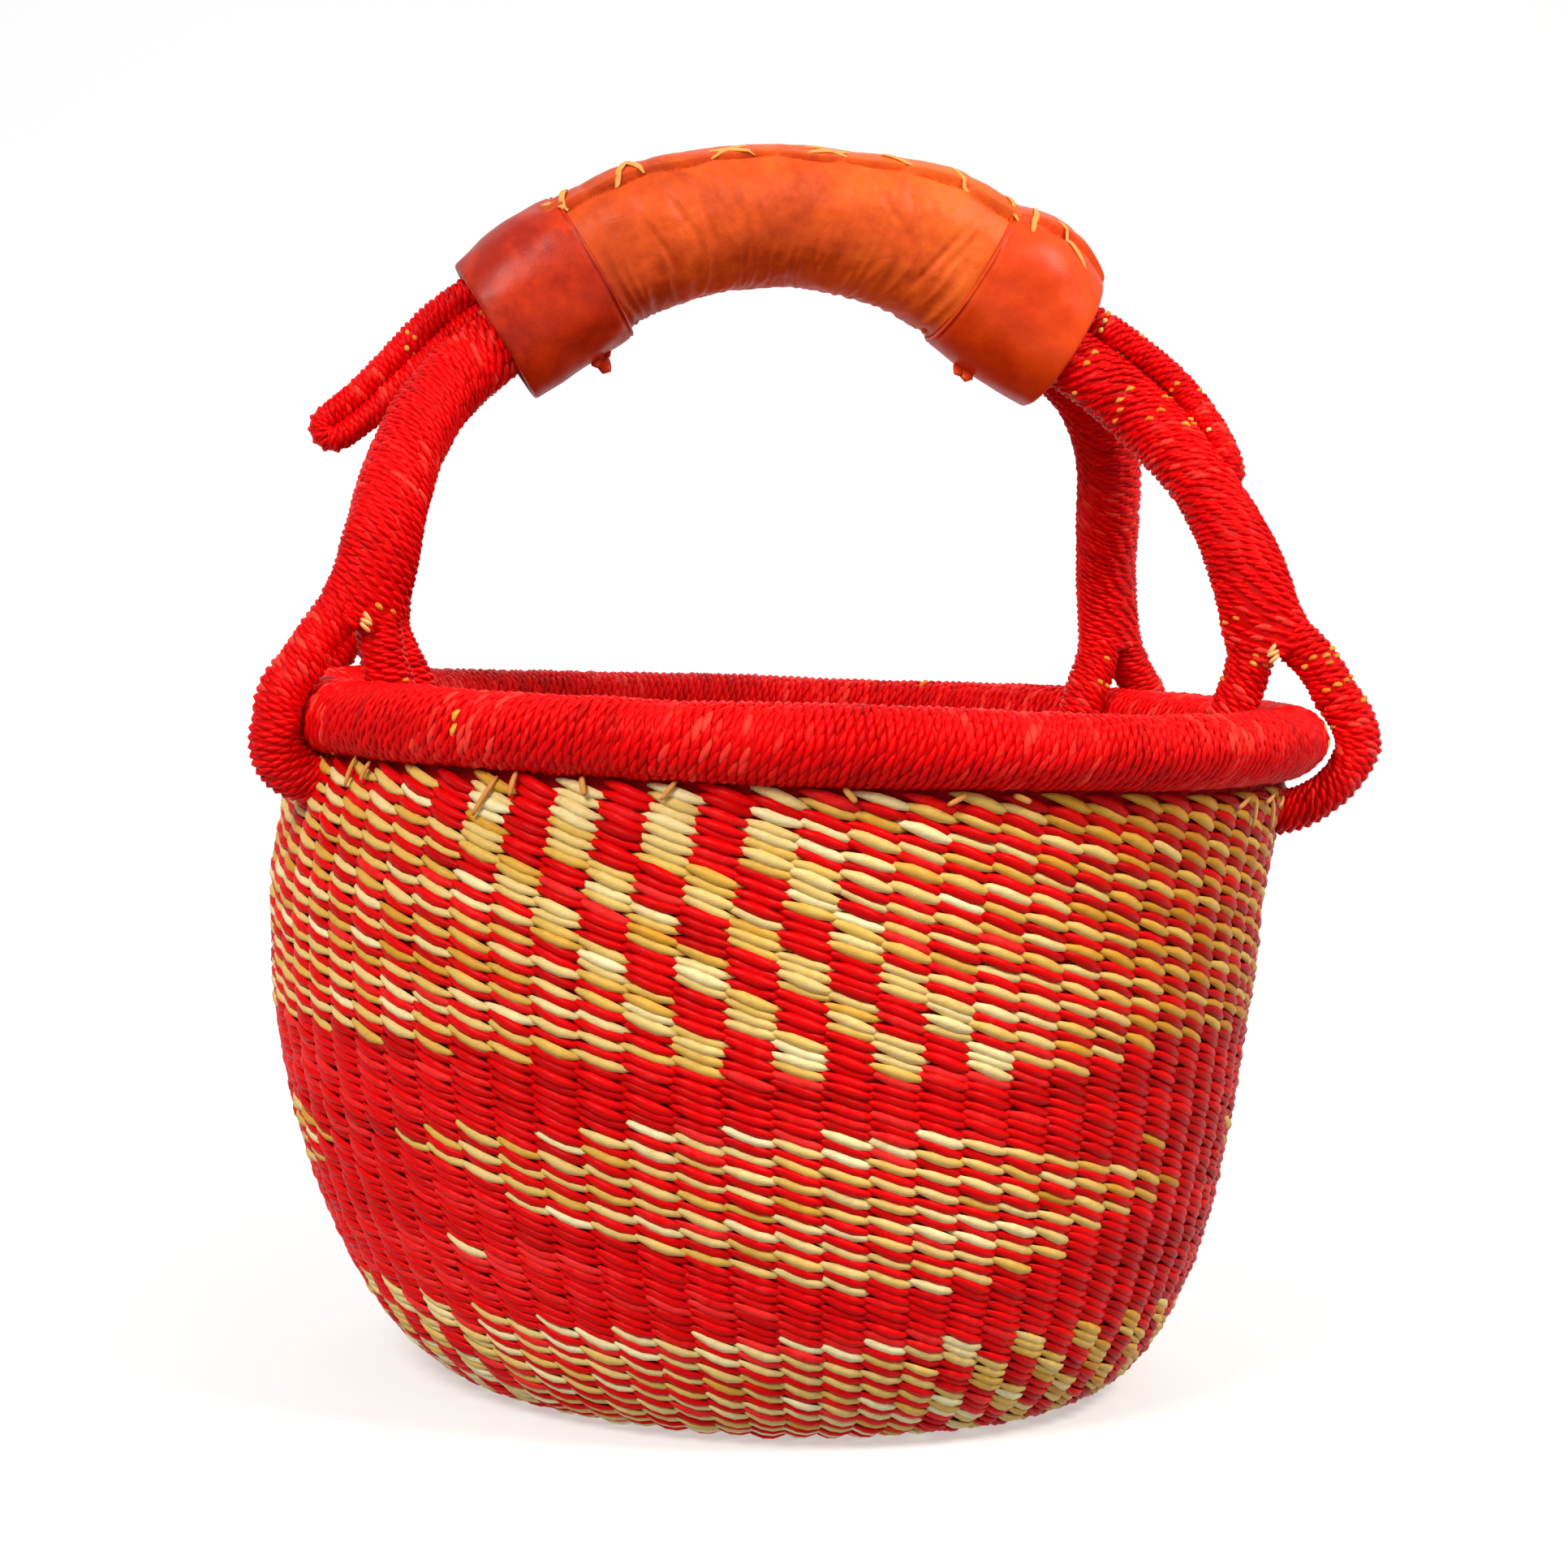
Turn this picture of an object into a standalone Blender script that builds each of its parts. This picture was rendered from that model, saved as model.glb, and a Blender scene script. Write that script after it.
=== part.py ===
"""Round market basket, twined from dyed straw, with a stiff arched handle gripped in leather.

Metres, +Z up. The origin is the centre of the base, on the surface that the basket stands on.
X runs along the handle's arch, and -Y is the front. Run it with
blender --background --python part.py, or from the text editor.
"""

import math

import bmesh
import bpy
from mathutils import Matrix, Vector
from mathutils.geometry import interpolate_bezier

# Driving dimensions, in metres.
GAP = 0.0003  # left between pieces that touch
FOOT_RADIUS = 0.088  # the flat disc that it stands on
WALL_RADIUS = 0.1415  # outside the wall, at its widest
SWELL_HEIGHT = 0.150  # where the wall stops widening
WALL_THICKNESS = 0.0065
RIM_HEIGHT = 0.1845  # centre of the rim's tube
RIM_RADIUS = 0.1385  # from the basket's axis to the centre of the rim's tube
RIM_CORE_RADIUS = 0.0085
RIM_WRAP_RADIUS = 0.0110
WRAP_THICKNESS = 0.0013  # two turns of twisted cord
EYE_RADIUS = 0.0188  # centre line of the loop that each leg takes round the rim
EYE_STRAND = 0.0064  # outside the wrapped strand in the loop
EYE_CORE = 0.0043
CROTCH_HEIGHT = 0.0275  # above the rim's centre, where the two halves of a loop meet
FORK_HEIGHT = 0.036  # above the rim's centre, where they have become one leg
LEG_RADIUS = 0.0086
LEG_CORE = 0.0033  # each of the two halves of the grass bundle inside a leg
LEG_SPREAD = 0.00345  # from the leg's centre line to each half's
GRIP_TOP = 0.3325  # centre line of the grip, at the top of the arch
GRIP_X = -0.006
GRIP_Y = 0.020
ARCH_RADIUS = 0.100
SLEEVE_RADIUS = 0.0200
SLEEVE_THICKNESS = 0.0016
CUFF_RADIUS = 0.0218
CUFF_THICKNESS = 0.0015
CUFF_LENGTH = 0.035
CUFF_LAP = 0.008  # how far the sleeve's end runs in under a cuff
LEG_SEAT = 0.022  # how far the legs run in under a cuff
EAR_STRAND = 0.0037
EAR_SPREAD = 0.0039  # from an ear's centre line to each of its two runs'
EAR_SEAT_RISE = 0.0105  # from the cuff's centre to an ear's
EAR_SEAT = 0.015  # how far the left ear runs in under its cuff
EAR_CLEARANCE = 0.0014  # between the right ear and the leg that it lies on
LEFT_EAR_LENGTH = 0.055
LEFT_EAR_DROOP = 0.0065
LEFT_EAR_SKEW = 0.0012  # its upper run lies this much behind its centre line
RIGHT_EAR_LENGTH = 0.058
TIE_HALF_LENGTH = 0.006
TIE_THICK = 0.0022
TIE_THIN = 0.0012
EYE_HOLE_CLEARANCE = 0.0015
EYE_HOLE_DEPTH = 0.0325  # enough to pass right through the wall
FLARE_RISE = 0.0045  # from a loop's crotch to the foot of the leg's own wrapping
LACING_RADIUS = 0.0009

# Angles, in radians.
ARCH_ANGLE = math.radians(33)  # each side of the top, after which the grip runs straight
GRIP_TILT = math.radians(1.4)  # the grip's right end stands a little higher
EYE_TANGENT = math.radians(55)  # from the leg's direction, where a loop leaves its circle
LIP_ANGLE = math.radians(26)  # half of the slot under the rim's wrapping, for the wall
SEAM_ANGLE = math.radians(28)  # the grip's seam, from the top towards the front

# Where each leg meets the rim, in degrees about +Z from +X, and how far it leans inwards there.
FEET = {"right_front": -16.5, "right_back": 36.0, "left_front": 196.5, "left_back": 154.0}
LEG_LEAN = {"right_front": 15.0, "right_back": 9.0, "left_front": 13.0, "left_back": 4.0}
LEG_SEAT_SIDE = 0.0088  # from the cuff's centre to a leg's, along Y
LEG_SEAT_DROP = 0.0040

# Shares of a length: how stiffly each line bends, how a leg swells at its foot, and where
# smaller pieces sit along a bigger one.
FORK_STIFFNESS = 0.38
MOUTH_STIFFNESS = 0.34
BRANCH_STIFFNESS = 0.36
FLARE_SWELLS = (1.22, 1.08)
CORE_SHARE = 0.99  # of the sleeve's length, filled by the bundle
TIE_PLACE = 0.42  # of a cuff's length, from its inner end
EAR_ASIDE = 0.6  # of LEG_SEAT_SIDE, by which the right ear starts nearer the cuff's middle

# The wall's courses of weave, by height: each begins where the weavers change colour.
COURSES = {
    "lower_pattern_band": (0.0, 0.033),
    "lower_red_band": (0.033, 0.047),
    "middle_stripe_band": (0.047, 0.088),
    "upper_red_band": (0.088, 0.103),
    "top_pattern_band": (0.103, 0.1756),
}

# How finely things are faceted.
RING_STEPS = 36
RIM_SIDES = 8
LIP_STEPS = 8
COURSE_ROWS = {"lower_pattern_band": 5}
USUAL_COURSE_ROWS = 3
WRAP_SIDES = 10
CORE_SIDES_RESOLUTION = 1  # a curve's bevel_resolution: 2 more than this, doubled, is its sides
SHELL_SIDES_RESOLUTION = 3

STRAW = (0.74, 0.50, 0.13)
RED_STRAW = (0.66, 0.01, 0.01)
RED_CORD = (0.58, 0.01, 0.01)
GRASS = (0.55, 0.40, 0.16)
SLEEVE_LEATHER = (0.65, 0.09, 0.02)
CUFF_LEATHER = (0.58, 0.04, 0.01)


def clear_scene():
    for old in list(bpy.data.objects):
        bpy.data.objects.remove(old, do_unlink=True)


def collection(name):
    made = bpy.data.collections.new(name)
    bpy.context.scene.collection.children.link(made)
    return made


def finish(name, colour, roughness=0.6):
    """One Principled BSDF for one piece."""
    made = bpy.data.materials.new(name)
    made.use_nodes = True
    shader = made.node_tree.nodes["Principled BSDF"]
    shader.inputs["Base Color"].default_value = (*colour, 1.0)
    shader.inputs["Roughness"].default_value = roughness
    shader.inputs["Metallic"].default_value = 0.0
    return made


def placed(name, data, colour, group, roughness=0.6):
    made = bpy.data.objects.new(name, data)
    data.materials.append(finish(name + "_finish", colour, roughness))
    group.objects.link(made)
    return made


# ---- the turned pieces: base, wall and rim


def turned(name, outline, colour, group, closed=True):
    """A solid turned about Z from an outline of (radius, height) that runs down its outer side."""
    shape = bmesh.new()
    corners = [shape.verts.new((radius, 0.0, height)) for radius, height in outline]
    for first, second in zip(corners, corners[1:]):
        shape.edges.new((first, second))
    if closed:
        shape.edges.new((corners[-1], corners[0]))
    data = bpy.data.meshes.new(name)
    shape.to_mesh(data)
    shape.free()
    made = placed(name, data, colour, group)
    spin = made.modifiers.new("turned", "SCREW")
    spin.axis = "Z"
    spin.steps = RING_STEPS
    spin.render_steps = RING_STEPS
    spin.use_merge_vertices = True
    spin.merge_threshold = 0.0001
    spin.use_smooth_shade = True
    return made


def wall_point(height, depth):
    """(radius, height) of the point that lies depth inside the wall's outer face at height.

    Up to SWELL_HEIGHT that face is a quarter of an ellipse, and above it is upright.
    """
    swell = WALL_RADIUS - FOOT_RADIUS
    up = min(height / SWELL_HEIGHT, 1.0)
    out = math.sqrt(1.0 - (1.0 - up) ** 2)
    normal = Vector((out / swell, (up - 1.0) / SWELL_HEIGHT)).normalized()
    radius = FOOT_RADIUS + swell * out
    return (radius - normal.x * depth, height - normal.y * depth)


def course_heights(low, high, rows):
    """Heights from high to low, closer together where the wall turns under."""
    angles = [math.acos(1.0 - min(height / SWELL_HEIGHT, 1.0)) for height in (low, high)]
    if high > SWELL_HEIGHT:
        return [high + (low - high) * step / rows for step in range(rows + 1)]
    spread = [angles[1] + (angles[0] - angles[1]) * step / rows for step in range(rows + 1)]
    return [SWELL_HEIGHT * (1.0 - math.cos(angle)) for angle in spread]


def course(name, low, high, colour, group):
    bottom = low + GAP / 2 if low else 0.0
    rows = COURSE_ROWS.get(name, USUAL_COURSE_ROWS)
    heights = course_heights(bottom, high - GAP / 2, rows)
    outside = [wall_point(height, 0.0) for height in heights]
    inside = [wall_point(height, WALL_THICKNESS) for height in reversed(heights)]
    return turned(name, outside + inside, colour, group)


def base(group):
    edge = FOOT_RADIUS - GAP
    outline = [(0.0, WALL_THICKNESS), (edge, WALL_THICKNESS), (edge, 0.0), (0.0, 0.0)]
    return turned("base_weave", outline, STRAW, group, closed=False)


def rim_core(group):
    bpy.ops.mesh.primitive_torus_add(
        location=(0.0, 0.0, RIM_HEIGHT),
        major_radius=RIM_RADIUS,
        minor_radius=RIM_CORE_RADIUS,
        major_segments=RING_STEPS,
        minor_segments=RIM_SIDES,
    )
    made = bpy.context.object
    for holder in list(made.users_collection):
        holder.objects.unlink(made)
    made.name = "rim_core"
    made.data.materials.append(finish("rim_core_finish", GRASS))
    made.data.shade_smooth()
    group.objects.link(made)
    return made


def rim_wrap(group):
    """A tube with a slot along its underside, which the wall's top enters."""
    first = math.radians(270) - LIP_ANGLE
    last = math.radians(-90) + LIP_ANGLE
    angles = [first + (last - first) * step / LIP_STEPS for step in range(LIP_STEPS + 1)]

    def arc(radius, around):
        return [
            (RIM_RADIUS + radius * math.cos(angle), RIM_HEIGHT + radius * math.sin(angle))
            for angle in around
        ]

    outer = arc(RIM_WRAP_RADIUS, angles)
    inner = arc(RIM_WRAP_RADIUS - WRAP_THICKNESS, reversed(angles))
    return turned("rim_wrap", outer + inner, RED_CORD, group)


def cut_eye_holes(wall, guides):
    """A round hole through the wall, just under the rim, for each leg's loop."""
    for place, azimuth in FEET.items():
        angle = math.radians(azimuth)
        out = Vector((math.cos(angle), math.sin(angle), 0.0))
        bpy.ops.mesh.primitive_cylinder_add(
            vertices=WRAP_SIDES + 2,
            radius=EYE_STRAND + EYE_HOLE_CLEARANCE,
            depth=EYE_HOLE_DEPTH,
            location=out * RIM_RADIUS + Vector((0.0, 0.0, RIM_HEIGHT - EYE_RADIUS)),
            rotation=(0.0, math.radians(90), angle),
        )
        cutter = bpy.context.object
        for holder in list(cutter.users_collection):
            holder.objects.unlink(cutter)
        cutter.name = "eye_hole_" + place
        cutter.hide_render = True
        cutter.display_type = "WIRE"
        guides.objects.link(cutter)
        hole = wall.modifiers.new("eye_hole_" + place, "BOOLEAN")
        hole.operation = "DIFFERENCE"
        hole.solver = "EXACT"
        hole.object = cutter


# ---- tubes along a line: grip, legs, loops and ears


def tube(name, points, radii, colour, group, sides_resolution, filled=True, roughness=0.6):
    """A tube along points, as a POLY curve with one radius for each point."""
    data = bpy.data.curves.new(name, "CURVE")
    data.dimensions = "3D"
    data.bevel_depth = 1.0
    data.bevel_resolution = sides_resolution
    data.use_fill_caps = filled
    line = data.splines.new("POLY")
    line.points.add(len(points) - 1)
    for knot, point, radius in zip(line.points, points, radii):
        knot.co = (*point, 1.0)
        knot.radius = radius
    return placed(name, data, colour, group, roughness)


def shell(name, points, radii, wall, colour, group, roughness=0.6):
    """An open-ended tube whose wall lies inside the given radii."""
    made = tube(
        name,
        points,
        radii,
        colour,
        group,
        SHELL_SIDES_RESOLUTION,
        filled=False,
        roughness=roughness,
    )
    skin = made.modifiers.new("wall", "SOLIDIFY")
    skin.thickness = wall
    skin.offset = -1.0
    skin.use_even_offset = True
    return made


def arch_point(along):
    """The grip's centre line, along metres from its top, positive towards +X."""
    turn = min(abs(along) / ARCH_RADIUS, ARCH_ANGLE)
    straight = max(abs(along) - ARCH_RADIUS * ARCH_ANGLE, 0.0)
    out = ARCH_RADIUS * math.sin(turn) + straight * math.cos(turn)
    drop = ARCH_RADIUS * (1.0 - math.cos(turn)) + straight * math.sin(turn)
    offset = Matrix.Rotation(-GRIP_TILT, 3, "Y") @ Vector((math.copysign(out, along), 0.0, -drop))
    return Vector((GRIP_X, GRIP_Y, GRIP_TOP)) + offset


def arch_frame(along):
    """Unit vectors along the grip, outwards from its arch, at that distance from its top."""
    turn = math.copysign(min(abs(along) / ARCH_RADIUS, ARCH_ANGLE), along) - GRIP_TILT
    forward = Vector((math.cos(turn), 0.0, -math.sin(turn)))
    outward = Vector((math.sin(turn), 0.0, math.cos(turn)))
    return forward, outward


def spaced(first, last, count):
    return [first + (last - first) * step / (count - 1) for step in range(count)]


HALF_SLEEVE = ARCH_RADIUS * ARCH_ANGLE + CUFF_LAP
HALF_GRIP = ARCH_RADIUS * ARCH_ANGLE + CUFF_LENGTH


def grip(group):
    inner = SLEEVE_RADIUS - SLEEVE_THICKNESS
    places = spaced(-HALF_SLEEVE, HALF_SLEEVE, 10)
    points = [arch_point(place) for place in places]
    core_radius = inner * math.cos(math.pi / WRAP_SIDES) - GAP * 2
    ends = [arch_point(place * CORE_SHARE) for place in places]
    tube("grip_core", ends, [core_radius] * len(ends), GRASS, group, CORE_SIDES_RESOLUTION)
    shell(
        "grip_sleeve",
        points,
        [SLEEVE_RADIUS] * len(points),
        SLEEVE_THICKNESS,
        SLEEVE_LEATHER,
        group,
    )
    for name, side in (("left", -1.0), ("right", 1.0)):
        first = side * ARCH_RADIUS * ARCH_ANGLE
        ends = [arch_point(first), arch_point(side * HALF_GRIP)]
        shell(name + "_cuff", ends, [CUFF_RADIUS] * 2, CUFF_THICKNESS, CUFF_LEATHER, group)


def seam_lacing(group):
    reach = ARCH_RADIUS * ARCH_ANGLE - 2 * LACING_RADIUS
    points = []
    for along in spaced(-reach, reach, 16):
        outward = arch_frame(along)[1]
        direction = outward * math.cos(SEAM_ANGLE) - Vector((0.0, 1.0, 0.0)) * math.sin(SEAM_ANGLE)
        points.append(arch_point(along) + direction * (SLEEVE_RADIUS + LACING_RADIUS + 2 * GAP))
    radii = [LACING_RADIUS] * len(points)
    tube("seam_lacing", points, radii, STRAW, group, CORE_SIDES_RESOLUTION)


def cuff_ties(group):
    """A knotted end of leather thong under each cuff."""
    for name, side in (("left", -1.0), ("right", 1.0)):
        along = side * (ARCH_RADIUS * ARCH_ANGLE + CUFF_LENGTH * TIE_PLACE)
        forward, outward = arch_frame(along)
        knot = arch_point(along) - outward * (CUFF_RADIUS + TIE_THICK + 2 * GAP)
        points = [knot + forward * TIE_HALF_LENGTH * step for step in (-1.0, -0.35, 0.35, 1.0)]
        radii = (TIE_THIN, TIE_THICK, TIE_THICK, TIE_THIN)
        tube(name + "_cuff_tie", points, radii, CUFF_LEATHER, group, CORE_SIDES_RESOLUTION)


class Leg:
    """One leg's lines: the loop round the rim, the two halves above it, and the leg itself."""

    def __init__(self, place):
        azimuth = math.radians(FEET[place])
        side = 1.0 if place.startswith("right") else -1.0
        back = 1.0 if place.endswith("back") else -1.0
        self.radial = Vector((math.cos(azimuth), math.sin(azimuth), 0.0))
        self.rim = self.radial * RIM_RADIUS + Vector((0.0, 0.0, RIM_HEIGHT))
        lean = math.radians(LEG_LEAN[place])
        self.up = Vector((0.0, 0.0, math.cos(lean))) - self.radial * math.sin(lean)
        self.across = self.radial * math.cos(lean) + Vector((0.0, 0.0, math.sin(lean)))
        forward, outward = arch_frame(side * HALF_GRIP)
        self.inward = forward * -side
        self.mouth = arch_point(side * HALF_GRIP) - outward * LEG_SEAT_DROP
        self.mouth += Vector((0.0, back * LEG_SEAT_SIDE, 0.0))
        self.fork = self.rim + self.up * FORK_HEIGHT

    def shaft(self, count=9):
        """From the fork up to the cuff's mouth, and on into the cuff."""
        reach = (self.mouth - self.fork).length
        line = interpolate_bezier(
            self.fork,
            self.fork + self.up * reach * FORK_STIFFNESS,
            self.mouth - self.inward * reach * MOUTH_STIFFNESS,
            self.mouth,
            count,
        )
        return line + [self.mouth + self.inward * LEG_SEAT * part for part in (0.5, 1.0)]

    def beside(self, points):
        """For each point, the unit vector across the leg in the plane of its loop."""
        result = []
        for index, point in enumerate(points):
            before = points[max(index - 1, 0)]
            after = points[min(index + 1, len(points) - 1)]
            along = (after - before).normalized()
            result.append((self.radial - along * self.radial.dot(along)).normalized())
        return result

    def branch(self, hand, count=7):
        """One half of the loop, from the fork down to where it joins the circle round the rim."""
        down = self.up * math.cos(EYE_TANGENT) + self.across * hand * math.sin(EYE_TANGENT)
        along = self.up * math.sin(EYE_TANGENT) - self.across * hand * math.cos(EYE_TANGENT)
        start = self.fork + self.across * hand * LEG_SPREAD
        end = self.rim + down * EYE_RADIUS
        handle = (start - end).length * BRANCH_STIFFNESS
        return interpolate_bezier(start, start - self.up * handle, end + along * handle, end, count)

    def circle(self, count=9):
        """The loop under the rim, from its outer side to its inner side."""
        first = EYE_TANGENT
        last = 2 * math.pi - EYE_TANGENT
        return [
            self.rim + (self.up * math.cos(turn) + self.across * math.sin(turn)) * EYE_RADIUS
            for turn in spaced(first, last, count)
        ]

    def loop(self):
        return self.branch(1.0)[:-1] + self.circle() + self.branch(-1.0)[-2::-1]


def leg_core(place, leg, group):
    """One grass bundle, bent double round the rim, with both its halves in the leg."""
    shaft = leg.shaft()
    offsets = [beside * LEG_SPREAD for beside in leg.beside(shaft)]
    outer = [point + offset for point, offset in zip(shaft, offsets)]
    inner = [point - offset for point, offset in zip(shaft, offsets)]
    loop = leg.loop()[1:-1]
    points = outer[::-1] + loop + inner
    thin = [LEG_CORE] * len(shaft)
    fat = [EYE_CORE] * (len(loop) - 6)
    step = (EYE_CORE - LEG_CORE) / 3
    growing = [LEG_CORE + step * part for part in (0.5, 1.0, 2.0)]
    radii = thin + growing + fat + growing[::-1] + thin
    tube(place + "_leg_core", points, radii, GRASS, group, CORE_SIDES_RESOLUTION)


def leg_wraps(place, leg, group):
    loop = [
        point
        for point in leg.loop()
        if (point - leg.rim).dot(leg.up) < CROTCH_HEIGHT
    ]
    shell(
        place + "_loop_wrap", loop, [EYE_STRAND] * len(loop), WRAP_THICKNESS, RED_CORD, group
    )
    shaft = leg.shaft()
    flare = leg.rim + leg.up * (CROTCH_HEIGHT + FLARE_RISE)
    radii = [LEG_RADIUS * swell for swell in FLARE_SWELLS] + [LEG_RADIUS] * (len(shaft) - 1)
    shell(place + "_leg_wrap", [flare] + shaft, radii, WRAP_THICKNESS, RED_CORD, group)


def hairpin(name, centres, spreads, group):
    """A wrapped strand that runs out along centres, turns, and runs back beside itself."""
    out = [centre + spread for centre, spread in zip(centres, spreads)]
    back = [centre - spread for centre, spread in zip(centres, spreads)]
    along = (centres[-1] - centres[-2]).normalized()
    reach = spreads[-1].length
    turn = [
        centres[-1] + spreads[-1] * math.cos(angle) + along * reach * math.sin(angle)
        for angle in spaced(0.0, math.pi, 5)[1:-1]
    ]
    points = out + turn + back[::-1]
    tube(name, points, [EAR_STRAND] * len(points), RED_CORD, group, CORE_SIDES_RESOLUTION)


def left_ear(group):
    """The spare loop of the left bundles, which stands out below the cuff."""
    forward, outward = arch_frame(-HALF_GRIP)
    mouth = arch_point(-HALF_GRIP) + outward * EAR_SEAT_RISE
    tip = mouth - forward * LEFT_EAR_LENGTH - outward * LEFT_EAR_DROOP
    handle = forward * LEFT_EAR_LENGTH / 3
    line = interpolate_bezier(mouth, mouth - handle, tip + handle, tip, 6)
    centres = [mouth + forward * EAR_SEAT] + line
    spreads = [outward * EAR_SPREAD + Vector((0.0, LEFT_EAR_SKEW, 0.0)) for _ in centres]
    hairpin("left_ear", centres, spreads, group)


def right_ear(group):
    """The spare loop of the right bundles, which lies along the top of the front leg."""
    shaft = Leg("right_front").shaft(25)[::-1]
    reach = RIGHT_EAR_LENGTH + LEG_SEAT
    centres = []
    spreads = []
    gone = 0.0
    for before, point, after in zip(shaft[0::2], shaft[1::2], shaft[2::2]):
        gone += (after - before).length
        if gone > reach:
            break
        along = (before - after).normalized()
        above = Vector((0.0, 1.0, 0.0)).cross(along).normalized()
        beside = above.cross(along)
        middle = Vector((0.0, LEG_SEAT_SIDE * EAR_ASIDE * (1.0 - gone / reach), 0.0))
        centres.append(point + middle + above * (LEG_RADIUS + EAR_STRAND + EAR_CLEARANCE))
        spreads.append(beside * EAR_SPREAD)
    hairpin("right_ear", centres, spreads, group)


def main():
    clear_scene()
    basket = collection("straw_basket")
    guides = collection("straw_basket_cutters")
    base(basket)
    for name, (low, high) in COURSES.items():
        colour = RED_STRAW if "red" in name else STRAW
        wall = course(name, low, high, colour, basket)
        if name == "top_pattern_band":
            cut_eye_holes(wall, guides)
    rim_core(basket)
    rim_wrap(basket)
    grip(basket)
    seam_lacing(basket)
    cuff_ties(basket)
    for place in FEET:
        leg = Leg(place)
        leg_core(place, leg, basket)
        leg_wraps(place, leg, basket)
    left_ear(basket)
    right_ear(basket)


main()
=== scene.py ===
"""The looks of a round straw basket: twined wall, cord-wrapped rim and legs, leather grip."""

import logging
import math
from collections.abc import Sequence
from dataclasses import dataclass, field
from enum import Enum

import bmesh
import bpy
import numpy as np
from mathutils import Matrix, Vector, noise
from mathutils.geometry import interpolate_bezier


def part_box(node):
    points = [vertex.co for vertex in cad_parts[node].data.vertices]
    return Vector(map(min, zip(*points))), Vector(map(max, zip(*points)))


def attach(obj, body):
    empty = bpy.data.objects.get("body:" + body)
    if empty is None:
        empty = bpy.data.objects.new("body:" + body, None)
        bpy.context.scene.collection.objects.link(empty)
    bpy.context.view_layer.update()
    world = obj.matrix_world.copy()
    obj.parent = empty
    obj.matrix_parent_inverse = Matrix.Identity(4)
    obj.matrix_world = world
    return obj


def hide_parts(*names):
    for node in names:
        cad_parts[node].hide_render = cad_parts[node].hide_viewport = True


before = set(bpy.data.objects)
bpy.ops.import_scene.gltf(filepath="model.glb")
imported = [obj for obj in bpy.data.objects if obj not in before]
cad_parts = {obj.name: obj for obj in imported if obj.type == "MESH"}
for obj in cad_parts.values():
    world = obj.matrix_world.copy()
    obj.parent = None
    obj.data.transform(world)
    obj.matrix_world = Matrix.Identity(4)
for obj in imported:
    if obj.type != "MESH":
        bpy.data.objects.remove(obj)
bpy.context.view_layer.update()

LOG = logging.getLogger("straw_basket")
MM = 0.001
BODY = "root"
FRONT = math.radians(-98.5)  # the azimuth that faces the viewer, about +Z from +X
LEGS = ("right_front", "right_back", "left_front", "left_back")
COURSES = (
    "top_pattern_band",
    "upper_red_band",
    "middle_stripe_band",
    "lower_red_band",
    "lower_pattern_band",
)


class Dye(Enum):
    """The colour of one straw."""

    NATURAL = "natural"
    RED = "red"


class Face(Enum):
    """The side of the wall that a stitch lies on."""

    OUTSIDE = "outside"
    INSIDE = "inside"


# ---- colours and nodes


MIX_UNDER, MIX_TINT, MIX_RESULT = 6, 7, 2  # the colour sockets of a Mix node, by number


def linear(code: str) -> tuple[float, float, float, float]:
    """Turns an sRGB hex colour to linear RGBA.

    Args:
        code: Six hex digits, with or without a leading mark.

    Returns:
        Red, green and blue from 0 to 1 in linear light, and an alpha of 1.
    """
    digits = code.lstrip("#")
    shares = [int(digits[at : at + 2], 16) / 255 for at in (0, 2, 4)]
    light = [c / 12.92 if c <= 0.04045 else ((c + 0.055) / 1.055) ** 2.4 for c in shares]
    return (light[0], light[1], light[2], 1.0)


def set_stops(ramp: bpy.types.ColorRamp, stops: Sequence[tuple[float, str]]) -> None:
    """Fills a colour ramp.

    Args:
        ramp: The ramp, with its first two stops.
        stops: Each stop's place from 0 to 1 and its sRGB hex colour.
    """
    while len(ramp.elements) < len(stops):
        ramp.elements.new(1.0)
    for element, (place, code) in zip(ramp.elements, stops):
        element.position = place
        element.color = linear(code)


def add(
    tree: bpy.types.NodeTree,
    kind: str,
    settings: dict[str | int, object] | None = None,
    links: dict[str | int, bpy.types.NodeSocket] | None = None,
) -> bpy.types.Node:
    """Adds one node with its settings and links.

    Args:
        tree: The node tree that it goes in.
        kind: The node's type name.
        settings: Values for its sockets by name or number, for its own properties, or for the
            stops of its colour ramp.
        links: For a socket's name or number, the output that feeds it.

    Returns:
        The new node.
    """
    node = tree.nodes.new(kind)
    for name, value in (settings or {}).items():
        if name == "stops":
            set_stops(node.color_ramp, value)
        elif isinstance(name, int) or name in node.inputs:
            node.inputs[name].default_value = value
        else:
            setattr(node, name, value)
    for name, output in (links or {}).items():
        tree.links.new(output, node.inputs[name])
    return node


def blank(name: str, roughness: float) -> tuple[bpy.types.Material, bpy.types.Node]:
    """Makes a material with one Principled shader.

    Args:
        name: The material's name.
        roughness: Its roughness, the same all over unless it is linked later.

    Returns:
        The material and its shader node.
    """
    material = bpy.data.materials.new(name)
    material.use_nodes = True
    shader = material.node_tree.nodes["Principled BSDF"]
    shader.inputs["Roughness"].default_value = roughness
    return material, shader


# ---- finishes


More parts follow.
